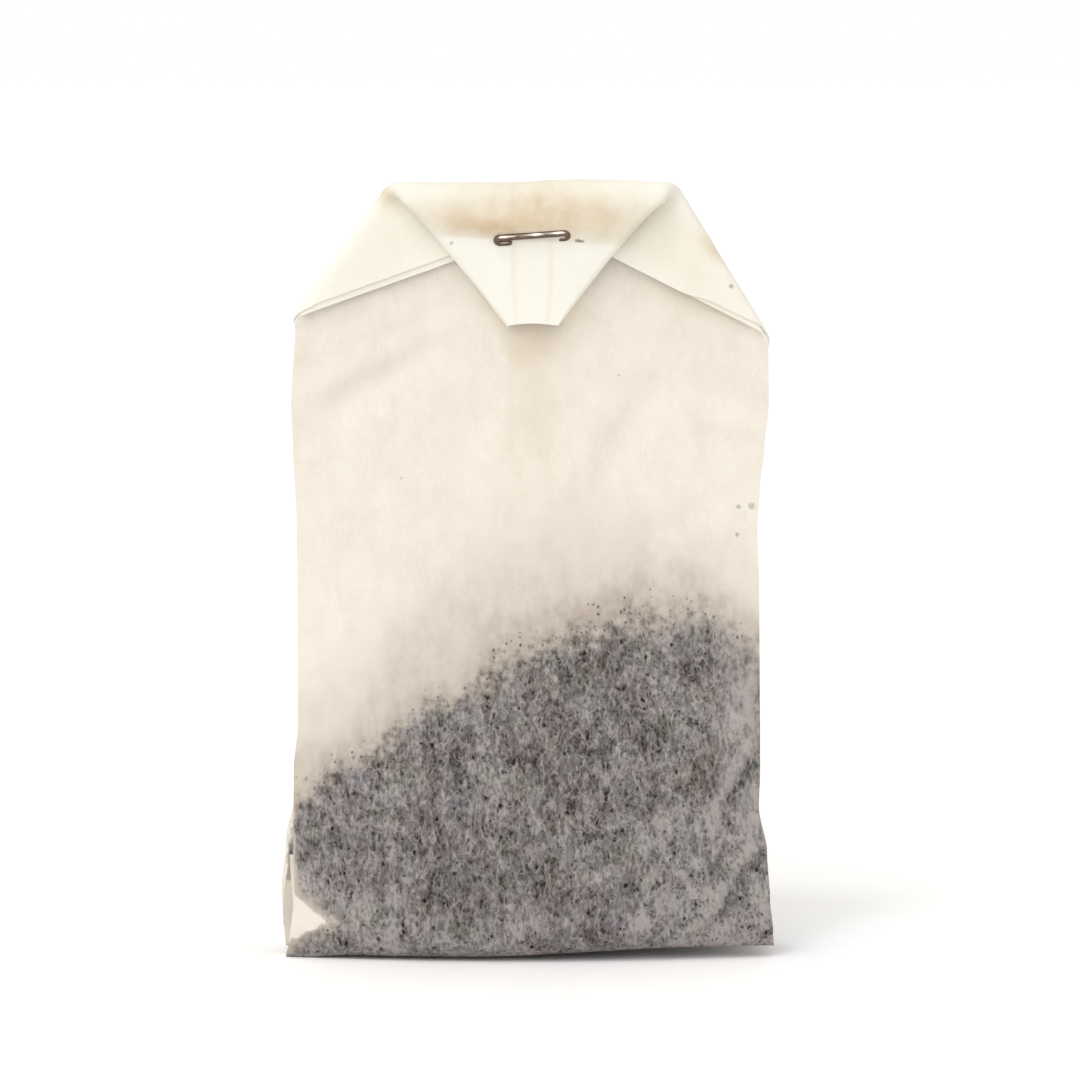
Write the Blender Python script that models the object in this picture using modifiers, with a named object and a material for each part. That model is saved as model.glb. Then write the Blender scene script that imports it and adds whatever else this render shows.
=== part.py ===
"""Double-chamber tea bag: one tube of filter paper, folded and closed with a wire staple.

The tube is lofted as an open sheet with a W fold at the bottom, given its thickness, and
then folded the way the bag is made: left corner, right corner, and last the head, all to
the front. Units are metres, +Z is up, the front faces -Y, and the origin is on the ground
under the middle of the bag.
"""

import math

import bmesh
import bpy
from mathutils import Matrix, Vector

MM = 0.001

# Filter paper
TUBE_WIDTH = 40.0 * MM
PAPER_THICKNESS = 0.05 * MM
LAYER_GAP = 0.06 * MM
SEAM_WIDTH = 3.0 * MM
SEAM_RAMP = 0.4 * MM
SEAM_LAYERS = 3
SEAM_FADE_DEPTH = 1.0 * MM

# Whole bag
BAG_HEIGHT = 65.6 * MM
NECK_DROP = 14.6 * MM
LEG_OFFSET = 0.4 * MM

# Chambers and the W fold between them
CHAMBER_DEPTH = 5.8 * MM
CHAMBER_FULL_HEIGHT = 8.0 * MM
CHAMBER_TAPER = 20.0 * MM
LEG_GAP = 1.7 * MM
PILLOW_POWER = 2.2
WAIST = 0.5 * MM
WAIST_HEIGHT = 22.0 * MM
WAIST_REACH = 20.0 * MM
CORNER_HEIGHT = 2.6 * MM
BASE_WIDTH = 2.6 * MM
BASE_INNER = 2.4 * MM
SIDE_BASE_WIDTH = 0.8 * MM
SIDE_BASE_INNER = 2.4 * MM
GUSSET_HEIGHT = 8.0 * MM
GUSSET_FOOT = 1.3 * MM
GUSSET_FOOT_HEIGHT = 1.4 * MM
SIDE_GUSSET_FOOT = 1.9 * MM
GUSSET_ROOF_GAP = 0.5 * MM
WEB_HEIGHT = 16.0 * MM

# Tea
TEA_TOP_LEFT = 15.5 * MM
TEA_TOP_PEAK = 29.6 * MM
TEA_TOP_RIGHT = 26.5 * MM
TEA_PEAK_X = 11.0 * MM
TEA_CLEARANCE = 0.15 * MM
TEA_RIM = 0.3 * MM
TEA_FLOOR = 0.6 * MM

# Folds of the head
FOLD_RADIUS = 0.08 * MM
LEFT_SHOULDER_DROP = 11.5 * MM
RIGHT_SHOULDER_DROP = 12.9 * MM
LEFT_CORNER_ANGLE = math.radians(35.0)
RIGHT_CORNER_ANGLE = math.radians(32.5)
OVERLAP_START = 8.0 * MM
OVERLAP_END = 4.5 * MM
FLAP_LENGTH = 11.2 * MM
TIP_NARROWING = 0.28
TIP_FLARE = 2.3 * MM
TOP_BULGE = 0.35 * MM
HEAD_UNSTRETCHED = 0.75

# Staple
WIRE_DIAMETER = 0.55 * MM
CROWN_WIDTH = 6.4 * MM
STAPLE_X = 0.2 * MM
STAPLE_DROP = 4.8 * MM
STAPLE_TILT = math.radians(-4.5)
STAPLE_CLEARANCE = 0.1 * MM
BEND_RADIUS = 0.45 * MM
CLINCH_LENGTH = 2.3 * MM

# Mesh spacing
COLUMN_SPACING = 4.6 * MM
ROW_SPACING = 4.4 * MM
WEB_ROWS = 5
BASE_ROWS = 3
CORNER_FOLD_PIECES = 2
HEAD_FOLD_PIECES = 6
FLAP_PIECES = 6
GUSSET_ROWS = 3
GUSSET_FOOT_ROWS = 2
TEA_COLUMNS = 10
TEA_ROWS = 8
TEA_EDGE_STEP = 0.01
STAPLE_BEND_PIECES = 4
HOLE_SIDES = 12
CUT_PRECISION = 0.0001 * MM
MITRE_LIMIT = 0.5
SMOOTH_ANGLE = math.radians(30.0)

# Colours
PAPER_COLOUR = (0.86, 0.80, 0.70)
TEA_COLOUR = (0.10, 0.07, 0.05)
WIRE_COLOUR = (0.55, 0.52, 0.48)

# Worked out from the sizes above
HALF_TUBE = TUBE_WIDTH / 2
NECK_HEIGHT = BAG_HEIGHT - NECK_DROP
LEFT_SHOULDER = BAG_HEIGHT - LEFT_SHOULDER_DROP
RIGHT_SHOULDER = BAG_HEIGHT - RIGHT_SHOULDER_DROP
STAPLE_HEIGHT = BAG_HEIGHT - STAPLE_DROP
FLAT_DEPTH = 2 * PAPER_THICKNESS + LAYER_GAP
SEAM_RISE = (SEAM_LAYERS - 1) * PAPER_THICKNESS
HALF_STACK = LAYER_GAP / 2 + FLAT_DEPTH
CORNER_AXIS_Y = -HALF_STACK - SEAM_RISE - FOLD_RADIUS
CORNER_RADIUS = HALF_STACK - CORNER_AXIS_Y
CORNER_ARC = math.pi * (CORNER_RADIUS - HALF_STACK)
OVERLAP_LIFT = 2 * HALF_STACK + FOLD_RADIUS
HEAD_AXIS_Y = CORNER_AXIS_Y - CORNER_RADIUS - OVERLAP_LIFT - FOLD_RADIUS
HEAD_RADIUS = HALF_STACK - HEAD_AXIS_Y
HEAD_ARC = math.pi * HEAD_RADIUS * HEAD_UNSTRETCHED
HEAD_FOLD_HEIGHT = BAG_HEIGHT - HEAD_RADIUS - SEAM_RISE
FLAP_START = HEAD_FOLD_HEIGHT + HEAD_ARC
TUBE_END = FLAP_START + FLAP_LENGTH
STAPLE_DOWN = (HEAD_FOLD_HEIGHT - STAPLE_HEIGHT) / FLAP_LENGTH


def smooth(share):
    """Eases from 0 to 1 as share goes from 0 to 1."""
    share = min(max(share, 0.0), 1.0)
    return share * share * (3 - 2 * share)


def between(first, second, share):
    return first + (second - first) * share


def steps(first, last, spacing):
    """Values from first to last, evenly apart by about the spacing, ends included."""
    count = max(1, round(abs(last - first) / spacing))
    return [between(first, last, index / count) for index in range(count + 1)]


def clear_scene():
    for thing in list(bpy.data.objects):
        bpy.data.objects.remove(thing)


def new_collection(name):
    made = bpy.data.collections.new(name)
    bpy.context.scene.collection.children.link(made)
    return made


def new_material(name, colour, roughness, metallic=0.0):
    made = bpy.data.materials.new(name)
    made.use_nodes = True
    shader = made.node_tree.nodes["Principled BSDF"]
    shader.inputs["Base Color"].default_value = (*colour, 1.0)
    shader.inputs["Roughness"].default_value = roughness
    shader.inputs["Metallic"].default_value = metallic
    return made


def new_object(name, mesh, collection, material=None):
    made = bpy.data.objects.new(name, mesh)
    collection.objects.link(made)
    if material:
        made.data.materials.append(material)
    return made


def tea_top(x):
    """Height of the tea's surface: it climbs from the left edge to a peak on the right."""
    if x < TEA_PEAK_X:
        share = (x + HALF_TUBE) / (TEA_PEAK_X + HALF_TUBE)
        return between(TEA_TOP_LEFT, TEA_TOP_PEAK, (share + math.sin(share * math.pi / 2)) / 2)
    return between(TEA_TOP_PEAK, TEA_TOP_RIGHT, smooth((x - TEA_PEAK_X) / (HALF_TUBE - TEA_PEAK_X)))


def pillow(u):
    """Share of the full swelling at a place across the tube, where u runs from -1 to 1."""
    return 1 - abs(u) ** PILLOW_POWER


def swelling(height, top):
    """Depth that the tea takes between the two walls, in the middle of the tube."""
    closed = top + CHAMBER_TAPER
    return CHAMBER_DEPTH * smooth((closed - height) / (closed - CHAMBER_FULL_HEIGHT))


def inner_distance(height):
    """Distance of a leg's inner wall from the middle plane between the legs."""
    opening = smooth((NECK_HEIGHT - height) / (NECK_HEIGHT - CHAMBER_FULL_HEIGHT))
    return LAYER_GAP / 2 + LEG_GAP / 2 * opening


def leg_centre(height):
    return inner_distance(height) + (FLAT_DEPTH + swelling(height, tea_top(0.0))) / 2


def half_depth(u, height):
    return (FLAT_DEPTH + swelling(height, tea_top(u * HALF_TUBE)) * pillow(u)) / 2


def half_width(height):
    """The filled tube is a little narrower than the flat one."""
    return HALF_TUBE - WAIST * (1 - smooth(abs(height - WAIST_HEIGHT) / WAIST_REACH))


def seam_rise(u, height):
    """How far the folded seam, on the inner wall, lifts the outer wall where the two touch."""
    across = (SEAM_WIDTH / 2 + SEAM_RAMP - abs(u) * HALF_TUBE) / SEAM_RAMP
    touching = 1 - swelling(height, tea_top(0.0)) / SEAM_FADE_DEPTH
    return SEAM_RISE * min(max(across, 0.0), 1.0) * max(touching, 0.0)


def rounding(height, radius):
    """Share of the way out that a rounded bottom edge has reached at a height."""
    below = max(radius - height, 0.0) / radius
    return math.sqrt(1 - below * below)


def belly_distance(u, height):
    """Distance of a chamber's outer wall from the middle plane."""
    belly = leg_centre(height) + half_depth(u, height)
    heel = between(SIDE_BASE_INNER + SIDE_BASE_WIDTH, BASE_INNER + BASE_WIDTH, pillow(u))
    return between(heel, belly, rounding(height, CORNER_HEIGHT))


def gusset_distance(u, height):
    """Distance of the gusset's side from the middle plane."""
    inner = between(SIDE_BASE_INNER, BASE_INNER, pillow(u))
    foot = between(SIDE_GUSSET_FOOT, GUSSET_FOOT, pillow(u))
    if height < GUSSET_FOOT_HEIGHT:
        return between(inner, foot, rounding(height, GUSSET_FOOT_HEIGHT))
    climbed = (height - GUSSET_FOOT_HEIGHT) / (GUSSET_HEIGHT - GUSSET_FOOT_HEIGHT)
    return max(between(foot, 0.0, climbed), 0.0)


def arc_points(centre, radii, first_angle, last_angle, count):
    """Points along an arc of an ellipse, without its first point."""
    angles = steps(first_angle, last_angle, abs(last_angle - first_angle) / count)[1:]
    return [
        Vector((centre[0] + radii[0] * math.cos(angle), centre[1] + radii[1] * math.sin(angle)))
        for angle in angles
    ]


def base_path(belly, base_inner, base_width, gusset_foot):
    """Outer wall from the belly round the flat base and up the gusset, as (y, z) points."""
    heel = base_inner + base_width
    corner = (heel - belly, CORNER_HEIGHT)
    foot = (base_inner - gusset_foot, GUSSET_FOOT_HEIGHT)
    points = arc_points((-heel, CORNER_HEIGHT), corner, 0.0, -math.pi / 2, BASE_ROWS)
    points.append(Vector((-base_inner, 0.0)))
    points += arc_points((-base_inner, GUSSET_FOOT_HEIGHT), foot, -math.pi / 2, 0.0, GUSSET_FOOT_ROWS)
    top = Vector((-LAYER_GAP, GUSSET_HEIGHT - LAYER_GAP))
    points += [points[-1].lerp(top, share) for share in steps(0.0, 1.0, 1 / GUSSET_ROWS)[1:]]
    points.append(Vector((0.0, GUSSET_HEIGHT)))
    return points


def offset_path(points, distance):
    """The path moved to its left by a distance and mitred at its corners, without its first point."""
    moved = []
    for before, here, after in zip(points, points[1:], points[2:] + [None]):
        arrive = (here - before).normalized()
        leave = (after - here).normalized() if after else Vector((arrive.x, -arrive.y))
        left = Vector((-arrive.y, arrive.x))
        side = (left + Vector((-leave.y, leave.x))).normalized()
        moved.append(here + side * distance / max(side.dot(left), MITRE_LIMIT))
    return moved


def tube_columns():
    """Places across the tube, from -1 to 1, with columns at both edges of the seam."""
    right = [SEAM_WIDTH / 2] + steps(SEAM_WIDTH / 2 + SEAM_RAMP, HALF_TUBE, COLUMN_SPACING)
    return [-x / HALF_TUBE for x in reversed(right)] + [x / HALF_TUBE for x in right]


def leg_rings(columns):
    """Rings from the open end of the tube down to where the W fold begins."""
    heights = [TUBE_END] + steps(HEAD_FOLD_HEIGHT, NECK_HEIGHT, 2 * ROW_SPACING)
    heights += steps(NECK_HEIGHT, WEB_HEIGHT, ROW_SPACING)[1:]
    rings = []
    for height in heights:
        centre = leg_centre(height)
        outer = []
        inner = []
        for u in columns:
            x = u * half_width(height)
            half = half_depth(u, height)
            outer.append(Vector((x, -centre - half - seam_rise(u, height), height)))
            inner.append(Vector((x, -centre + half, height)))
        rings.append((LEG_OFFSET, outer, inner))
    return rings


def fold_rings(columns):
    """Rings of the W fold: down the chamber, round its base and up to the top of the gusset.

    At the sides both walls follow the flat folded tube. In the middle the tea pushes the outer
    wall out and lifts the inner wall clear, so that it passes over the gusset.
    """
    heights = steps(WEB_HEIGHT, CORNER_HEIGHT, (WEB_HEIGHT - CORNER_HEIGHT) / WEB_ROWS)
    middle_outer = [Vector((-leg_centre(z) - half_depth(0.0, z), z)) for z in heights]
    side_outer = [Vector((-leg_centre(z) - FLAT_DEPTH / 2, z)) for z in heights]
    middle_outer += base_path(-middle_outer[-1].x, BASE_INNER, BASE_WIDTH, GUSSET_FOOT)
    side_outer += base_path(-side_outer[-1].x, SIDE_BASE_INNER, SIDE_BASE_WIDTH, SIDE_GUSSET_FOOT)
    side_inner = offset_path(side_outer, FLAT_DEPTH)
    middle_outer = middle_outer[1:]
    side_outer = side_outer[1:]

    roof = GUSSET_HEIGHT + GUSSET_ROOF_GAP
    over = (-inner_distance(WEB_HEIGHT), roof - WEB_HEIGHT)
    middle_inner = arc_points((0.0, WEB_HEIGHT), over, 0.0, math.pi / 2, len(side_outer))
    rings = []
    for index, walls in enumerate(zip(middle_outer, side_outer, middle_inner, side_inner)):
        offset = LEG_OFFSET * min(1.0, (len(side_outer) - 1 - index) / GUSSET_ROWS)
        outer = []
        inner = []
        for u in columns:
            out = walls[1].lerp(walls[0], pillow(u))
            into = walls[3].lerp(walls[2], math.sqrt(pillow(u)))
            x = u * half_width(walls[1].y)
            outer.append(Vector((x, out.x, out.y)))
            inner.append(Vector((x, into.x, into.y)))
        rings.append((offset, outer, inner))
    return rings


def placed_ring(ring, side):
    """A ring of points, outer wall left to right and inner wall back, on the front or back side."""
    offset, outer, inner = ring
    return [Vector((point.x - side * offset, -side * point.y, point.z)) for point in outer + inner[::-1]]


def loft(sheet, rings):
    """Joins closed rings of equally many points with faces, and returns the rings of vertices."""
    grid = [[sheet.verts.new(point) for point in ring] for ring in rings]
    for upper, lower in zip(grid, grid[1:]):
        for index in range(len(upper)):
            beside = (index + 1) % len(upper)
            sheet.faces.new((upper[index], lower[index], lower[beside], upper[beside]))
    return grid


def finished_mesh(sheet, name):
    mesh = bpy.data.meshes.new(name)
    sheet.to_mesh(mesh)
    sheet.free()
    mesh.shade_smooth()
    mesh.set_sharp_from_angle(angle=SMOOTH_ANGLE)
    return mesh


def tube_mesh():
    """The whole tube as an open sheet, with the seam's columns in the first vertex group."""
    columns = tube_columns()
    half = leg_rings(columns) + fold_rings(columns)
    rings = [placed_ring(ring, -1) for ring in half] + [placed_ring(ring, 1) for ring in half[-2::-1]]
    sheet = bmesh.new()
    seam = sheet.verts.layers.deform.verify()
    for around in loft(sheet, rings):
        for u, vert in zip(columns[::-1], around[len(columns):]):
            if abs(u) * HALF_TUBE < SEAM_WIDTH / 2 + SEAM_RAMP / 2:
                vert[seam][0] = 1.0
    return finished_mesh(sheet, "filter_paper")


def evaluated_mesh(thing):
    bpy.context.view_layer.update()
    return bpy.data.meshes.new_from_object(thing.evaluated_get(bpy.context.evaluated_depsgraph_get()))


def thick_tube(collection):
    """The tube with its real thickness inward, thicker along the folded seam."""
    sheet = new_object("filter_paper_sheet", tube_mesh(), collection)
    sheet.vertex_groups.new(name="seam")
    solidify = sheet.modifiers.new("paper thickness", "SOLIDIFY")
    solidify.thickness = PAPER_THICKNESS * SEAM_LAYERS
    solidify.offset = -1.0
    solidify.use_even_offset = True
    solidify.thickness_clamp = 1.0
    solidify.use_thickness_angle_clamp = True
    solidify.vertex_group = "seam"
    solidify.thickness_vertex_group = 1 / SEAM_LAYERS
    mesh = evaluated_mesh(sheet)
    bpy.data.objects.remove(sheet)
    return mesh


def cut(paper, point, direction):
    """Cuts the faces of the paper along a plane, so that a fold can bend there."""
    geometry = paper.verts[:] + paper.edges[:] + paper.faces[:]
    bmesh.ops.bisect_plane(
        paper, geom=geometry, plane_co=point, plane_no=direction, dist=CUT_PRECISION
    )


def bend(paper, point, direction, axis_y, arc, pieces):
    """Folds all paper past a line to the front, half a turn round an axis that lies before it.

    The arc is made of straight pieces, the same for every layer, so that no layer meets the
    next. Returns the vertices that lie flat past the fold.
    """
    for index in range(pieces + 1):
        cut(paper, point + direction * arc * index / pieces, direction)
    flat = []
    for vert in paper.verts:
        past = (vert.co - point).dot(direction)
        if past <= 0.0:
            continue
        height = vert.co.y - axis_y
        piece = min(int(past / arc * pieces), pieces - 1)
        share = min(past / arc * pieces - piece, 1.0)
        first = piece / pieces * math.pi
        last = (piece + 1) / pieces * math.pi
        reach = height * between(math.sin(first), math.sin(last), share) - max(past - arc, 0.0)
        vert.co += direction * (reach - past)
        vert.co.y = axis_y + height * between(math.cos(first), math.cos(last), share)
        if past > arc - CUT_PRECISION:
            flat.append(vert)
    return flat


def fold_left_corner(paper):
    point = Vector((-HALF_TUBE, 0.0, LEFT_SHOULDER))
    direction = Vector((-math.cos(LEFT_CORNER_ANGLE), 0.0, math.sin(LEFT_CORNER_ANGLE)))
    bend(paper, point, direction, CORNER_AXIS_Y, CORNER_ARC, CORNER_FOLD_PIECES)


def fold_right_corner(paper):
    """Folds the right corner, and lifts its point over the left corner where the two cross."""
    point = Vector((HALF_TUBE, 0.0, RIGHT_SHOULDER))
    direction = Vector((math.cos(RIGHT_CORNER_ANGLE), 0.0, math.sin(RIGHT_CORNER_ANGLE)))
    mirror = point + direction * CORNER_ARC / 2
    across = Vector((1.0, 0.0, 0.0))
    for x in (OVERLAP_START, OVERLAP_END):
        place = Vector((x, 0.0, RIGHT_SHOULDER))
        unfolded = place - 2 * (place - mirror).dot(direction) * direction
        cut(paper, unfolded, across - 2 * across.dot(direction) * direction)
    corner = bend(paper, point, direction, CORNER_AXIS_Y, CORNER_ARC, CORNER_FOLD_PIECES)
    for vert in corner:
        share = (OVERLAP_START - vert.co.x) / (OVERLAP_START - OVERLAP_END)
        vert.co.y -= OVERLAP_LIFT * min(max(share, 0.0), 1.0)


def flap_rise(down):
    """How far the flap stands off, from its top at 0 past the staple to its tip at 1."""
    if down < STAPLE_DOWN:
        return TOP_BULGE * math.sin(math.pi * down / STAPLE_DOWN) ** 2
    return TIP_FLARE * smooth((down - STAPLE_DOWN) / (1 - STAPLE_DOWN))


def fold_head(paper):
    """Folds the head to the front, where its flap bulges above the staple and flares below it."""
    up = Vector((0.0, 0.0, 1.0))
    bands = steps(0.0, STAPLE_DOWN, 1 / FLAP_PIECES) + steps(STAPLE_DOWN, 1.0, 1 / FLAP_PIECES)[1:]
    for down in bands[1:-1]:
        cut(paper, up * (FLAP_START + down * FLAP_LENGTH), up)
    flap = bend(paper, up * HEAD_FOLD_HEIGHT, up, HEAD_AXIS_Y, HEAD_ARC, HEAD_FOLD_PIECES)
    for vert in flap:
        down = min(max((HEAD_FOLD_HEIGHT - vert.co.z) / FLAP_LENGTH, 0.0), 1.0)
        band = max(index for index in range(len(bands) - 1) if bands[index] <= down)
        share = (down - bands[band]) / (bands[band + 1] - bands[band])
        vert.co.y -= between(flap_rise(bands[band]), flap_rise(bands[band + 1]), share)
        vert.co.x *= 1 - TIP_NARROWING * down


def folded_paper(collection):
    paper = bmesh.new()
    paper.from_mesh(thick_tube(collection))
    fold_left_corner(paper)
    fold_right_corner(paper)
    fold_head(paper)
    material = new_material("tea_filter_paper", PAPER_COLOUR, 0.85)
    return new_object("filter_paper", finished_mesh(paper, "filter_paper"), collection, material)


def tea_section(u, height):
    """Front and back y of the tea in the front chamber, clear of the paper on both sides."""
    clear = PAPER_THICKNESS + TEA_CLEARANCE
    wall = leg_centre(height) - half_depth(u, height) + SEAM_RISE
    behind = max(wall, gusset_distance(u, height)) + clear
    return -(belly_distance(u, height) - clear), -behind


def tea_height(u, share):
    return between(TEA_FLOOR, tea_top(u * HALF_TUBE), share)


def tea_edge(side, share):
    """The widest place, towards one side, where the tea is as deep as its rim."""
    u = side
    front, back = tea_section(u, tea_height(u, share))
    while back - front < TEA_RIM:
        u -= side * TEA_EDGE_STEP
        front, back = tea_section(u, tea_height(u, share))
    return u


def tea_heap(name, side, collection, material):
    """Tea in one chamber, a loft that fills it to a sloping top. Side is -1 in front, 1 behind."""
    rings = []
    for share in steps(0.0, 1.0, 1 / TEA_ROWS):
        left, right = tea_edge(-1, share), tea_edge(1, share)
        front = []
        back = []
        for u in steps(left, right, (right - left) / TEA_COLUMNS):
            height = tea_height(u, share)
            front_y, back_y = tea_section(u, height)
            front.append(Vector((u * half_width(height), front_y, height)))
            back.append(Vector((u * half_width(height), back_y, height)))
        rings.append(placed_ring((LEG_OFFSET, front, back), side))
    heap = bmesh.new()
    grid = loft(heap, rings)
    for ring in (grid[0], grid[-1]):
        for index in range(TEA_COLUMNS):
            far = -1 - index
            heap.faces.new((ring[index], ring[index + 1], ring[far - 1], ring[far]))
    bmesh.ops.recalc_face_normals(heap, faces=heap.faces[:])
    new_object(name, finished_mesh(heap, name), collection, material)


def staple_path():
    """Centre line of the wire, seen in its own plane: x across, y from front to back."""
    half = (CROWN_WIDTH - WIRE_DIAMETER) / 2
    stand_off = STAPLE_CLEARANCE + SEAM_RISE + WIRE_DIAMETER / 2
    front = HEAD_AXIS_Y - HEAD_RADIUS - stand_off
    back = HALF_STACK + stand_off
    inset = half - BEND_RADIUS
    radii = (BEND_RADIUS, BEND_RADIUS)
    right = [Vector((half - CLINCH_LENGTH, back)), Vector((inset, back))]
    right += arc_points((inset, back - BEND_RADIUS), radii, math.pi / 2, 0.0, STAPLE_BEND_PIECES)
    right.append(Vector((half, front + BEND_RADIUS)))
    right += arc_points((inset, front + BEND_RADIUS), radii, 0.0, -math.pi / 2, STAPLE_BEND_PIECES)
    return right + [Vector((-point.x, point.y)) for point in reversed(right)]


def place_on_head(thing):
    """Puts a thing that is modelled round the staple's middle where the staple goes."""
    thing.location = (STAPLE_X, 0.0, STAPLE_HEIGHT)
    thing.rotation_euler = (0.0, STAPLE_TILT, 0.0)


def add_staple(collection):
    curve = bpy.data.curves.new("staple", "CURVE")
    curve.dimensions = "3D"
    curve.bevel_depth = WIRE_DIAMETER / 2
    curve.bevel_resolution = 2
    curve.use_fill_caps = True
    spline = curve.splines.new("POLY")
    path = staple_path()
    spline.points.add(len(path) - 1)
    for point, place in zip(spline.points, path):
        point.co = (place.x, place.y, 0.0, 1.0)
    material = new_material("staple_wire", WIRE_COLOUR, 0.3, 1.0)
    place_on_head(new_object("staple", curve, collection, material))


def hole_mesh(name, x):
    """A round bar from front to back through the whole head, a little wider than the wire."""
    radius = WIRE_DIAMETER / 2 + STAPLE_CLEARANCE
    depth = 2 * (HALF_STACK + HEAD_RADIUS - HEAD_AXIS_Y)
    upright = Matrix.Translation((x, HEAD_AXIS_Y, 0.0)) @ Matrix.Rotation(math.pi / 2, 4, "X")
    bar = bmesh.new()
    bmesh.ops.create_cone(
        bar, cap_ends=True, segments=HOLE_SIDES, radius1=radius, radius2=radius, depth=depth,
        matrix=upright,
    )
    return finished_mesh(bar, name)


def pierce_paper(paper, collection):
    """Cuts the two holes that the staple's legs go through."""
    half = (CROWN_WIDTH - WIRE_DIAMETER) / 2
    for side, name in ((-1, "staple_hole_left"), (1, "staple_hole_right")):
        cutter = new_object(name, hole_mesh(name, side * half), collection)
        place_on_head(cutter)
        cutter.hide_render = True
        cutter.display_type = "WIRE"
        hole = paper.modifiers.new(name, "BOOLEAN")
        hole.operation = "DIFFERENCE"
        hole.solver = "EXACT"
        hole.object = cutter


def main():
    clear_scene()
    bag = new_collection("tea_bag")
    cutters = new_collection("cutters")
    paper = folded_paper(bag)
    pierce_paper(paper, cutters)
    leaf = new_material("black_tea", TEA_COLOUR, 0.9)
    tea_heap("tea_front", -1, bag, leaf)
    tea_heap("tea_back", 1, bag, leaf)
    add_staple(bag)


main()
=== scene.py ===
# %% [markdown]
# This lesson dresses a double-chamber tea bag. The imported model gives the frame: where the
# paper, the two heaps of tea and the staple are, and how large. Each step below makes one
# piece or one finish of the real bag and says why it is made that way. Lengths are metres,
# +Z is up and the front faces -Y.

# %% Load the frame
import math

import bmesh
import bpy
import numpy as np
from mathutils import Matrix, Vector, noise


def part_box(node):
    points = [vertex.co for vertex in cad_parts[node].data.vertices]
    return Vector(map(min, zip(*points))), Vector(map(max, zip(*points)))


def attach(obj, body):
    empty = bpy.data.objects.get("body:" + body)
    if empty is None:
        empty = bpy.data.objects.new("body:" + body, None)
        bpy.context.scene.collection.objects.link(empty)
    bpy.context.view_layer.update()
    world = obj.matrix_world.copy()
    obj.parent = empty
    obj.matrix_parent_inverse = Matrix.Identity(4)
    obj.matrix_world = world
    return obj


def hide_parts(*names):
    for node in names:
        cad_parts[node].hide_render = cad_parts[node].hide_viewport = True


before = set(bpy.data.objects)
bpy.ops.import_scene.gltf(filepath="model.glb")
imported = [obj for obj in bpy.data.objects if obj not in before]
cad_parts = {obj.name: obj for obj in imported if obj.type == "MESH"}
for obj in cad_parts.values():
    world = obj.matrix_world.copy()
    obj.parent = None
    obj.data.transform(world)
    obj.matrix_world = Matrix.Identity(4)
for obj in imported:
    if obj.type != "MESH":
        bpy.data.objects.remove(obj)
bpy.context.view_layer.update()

MM = 0.001
paper_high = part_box("filter_paper")[1]


# %% [markdown]
# Every material below is built from nodes. One helper keeps that readable: it adds a node to
# the tree that is open, with its settings, its values and its links. Settings that come back
# often have a name. A second helper turns an sRGB hex colour, as a paint chart gives it, into
# the linear numbers that a shader wants, and a third turns a real size into a pattern's scale.

# %% Helpers for materials
TONE = {"data_type": "RGBA"}
SMOOTH = {"interpolation_type": "SMOOTHSTEP"}
PLUS = {"operation": "ADD"}
MINUS = {"operation": "SUBTRACT"}
TIMES = {"operation": "MULTIPLY"}
LARGER = {"operation": "MAXIMUM"}
UNSIGNED = {"operation": "ABSOLUTE"}


def node(kind, *values, **settings):
    """Adds a node to the open tree. The values fill its live inputs in their order, or by name
    from a dictionary. A value is a number, a colour, a socket, or a node whose first result
    is taken."""
    made = tree.nodes.new("ShaderNode" + kind)
    for name, value in settings.items():
        setattr(made, name, value)
    filled = zip([socket for socket in made.inputs if socket.enabled], values)
    if values and isinstance(values[0], dict):
        filled = [(made.inputs[name], value) for name, value in values[0].items()]
    for socket, value in filled:
        if isinstance(value, bpy.types.Node):
            value = next(result for result in value.outputs if result.enabled)
        if isinstance(value, bpy.types.NodeSocket):
            tree.links.new(value, socket)
        else:
            socket.default_value = value
    return made


def colour(code):
    """Linear RGBA for an sRGB hex colour such as F1EADF."""
    shares = [int(code[place:place + 2], 16) / 255 for place in (0, 2, 4)]
    linear = [s / 12.92 if s <= 0.04045 else ((s + 0.055) / 1.055) ** 2.4 for s in shares]
    return (*linear, 1.0)


def scale_of(size_mm):
    """Scale of a pattern whose features are so many millimetres apart."""
    return 1 / (size_mm * MM)


def empty_material(name):
    """A material without nodes, and its tree."""
    made = bpy.data.materials.new(name)
    made.use_nodes = True
    made.node_tree.nodes.clear()
    return made, made.node_tree


print("middle grey is", [round(share, 3) for share in colour("808080")])

# %% [markdown]
# The camera stands a little above the table and looks almost straight at the bag, with a
# long lens, so that the sides stay parallel. A photo pixel is 0.0849 mm at the bag, which
# sets the lens, and the bag's foot and middle in the picture set the point to aim at.

# %% Camera
FRAME_PIXELS = 1080
PIXEL = 0.0849 * MM
BAG_MIDDLE_PIXEL = 532
BAG_FOOT_PIXEL = 955
CAMERA_DISTANCE = 0.42
CAMERA_ELEVATION = math.radians(5.5)
SENSOR_MM = 36.0

aim = Vector((
    (FRAME_PIXELS / 2 - BAG_MIDDLE_PIXEL) * PIXEL,
    0.0,
    (BAG_FOOT_PIXEL - FRAME_PIXELS / 2) * PIXEL,
))
camera = bpy.data.objects.new("camera", bpy.data.cameras.new("camera"))
bpy.context.scene.collection.objects.link(camera)
camera.data.sensor_width = SENSOR_MM
camera.data.lens = SENSOR_MM * CAMERA_DISTANCE / (FRAME_PIXELS * PIXEL)
camera.data.clip_start = 10 * MM
away = Vector((0.0, -math.cos(CAMERA_ELEVATION), math.sin(CAMERA_ELEVATION)))
camera.location = aim + CAMERA_DISTANCE * away
camera.rotation_euler = away.to_track_quat("Z", "Y").to_euler()
bpy.context.scene.camera = camera
print("lens", round(camera.data.lens, 1), "mm")

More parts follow.
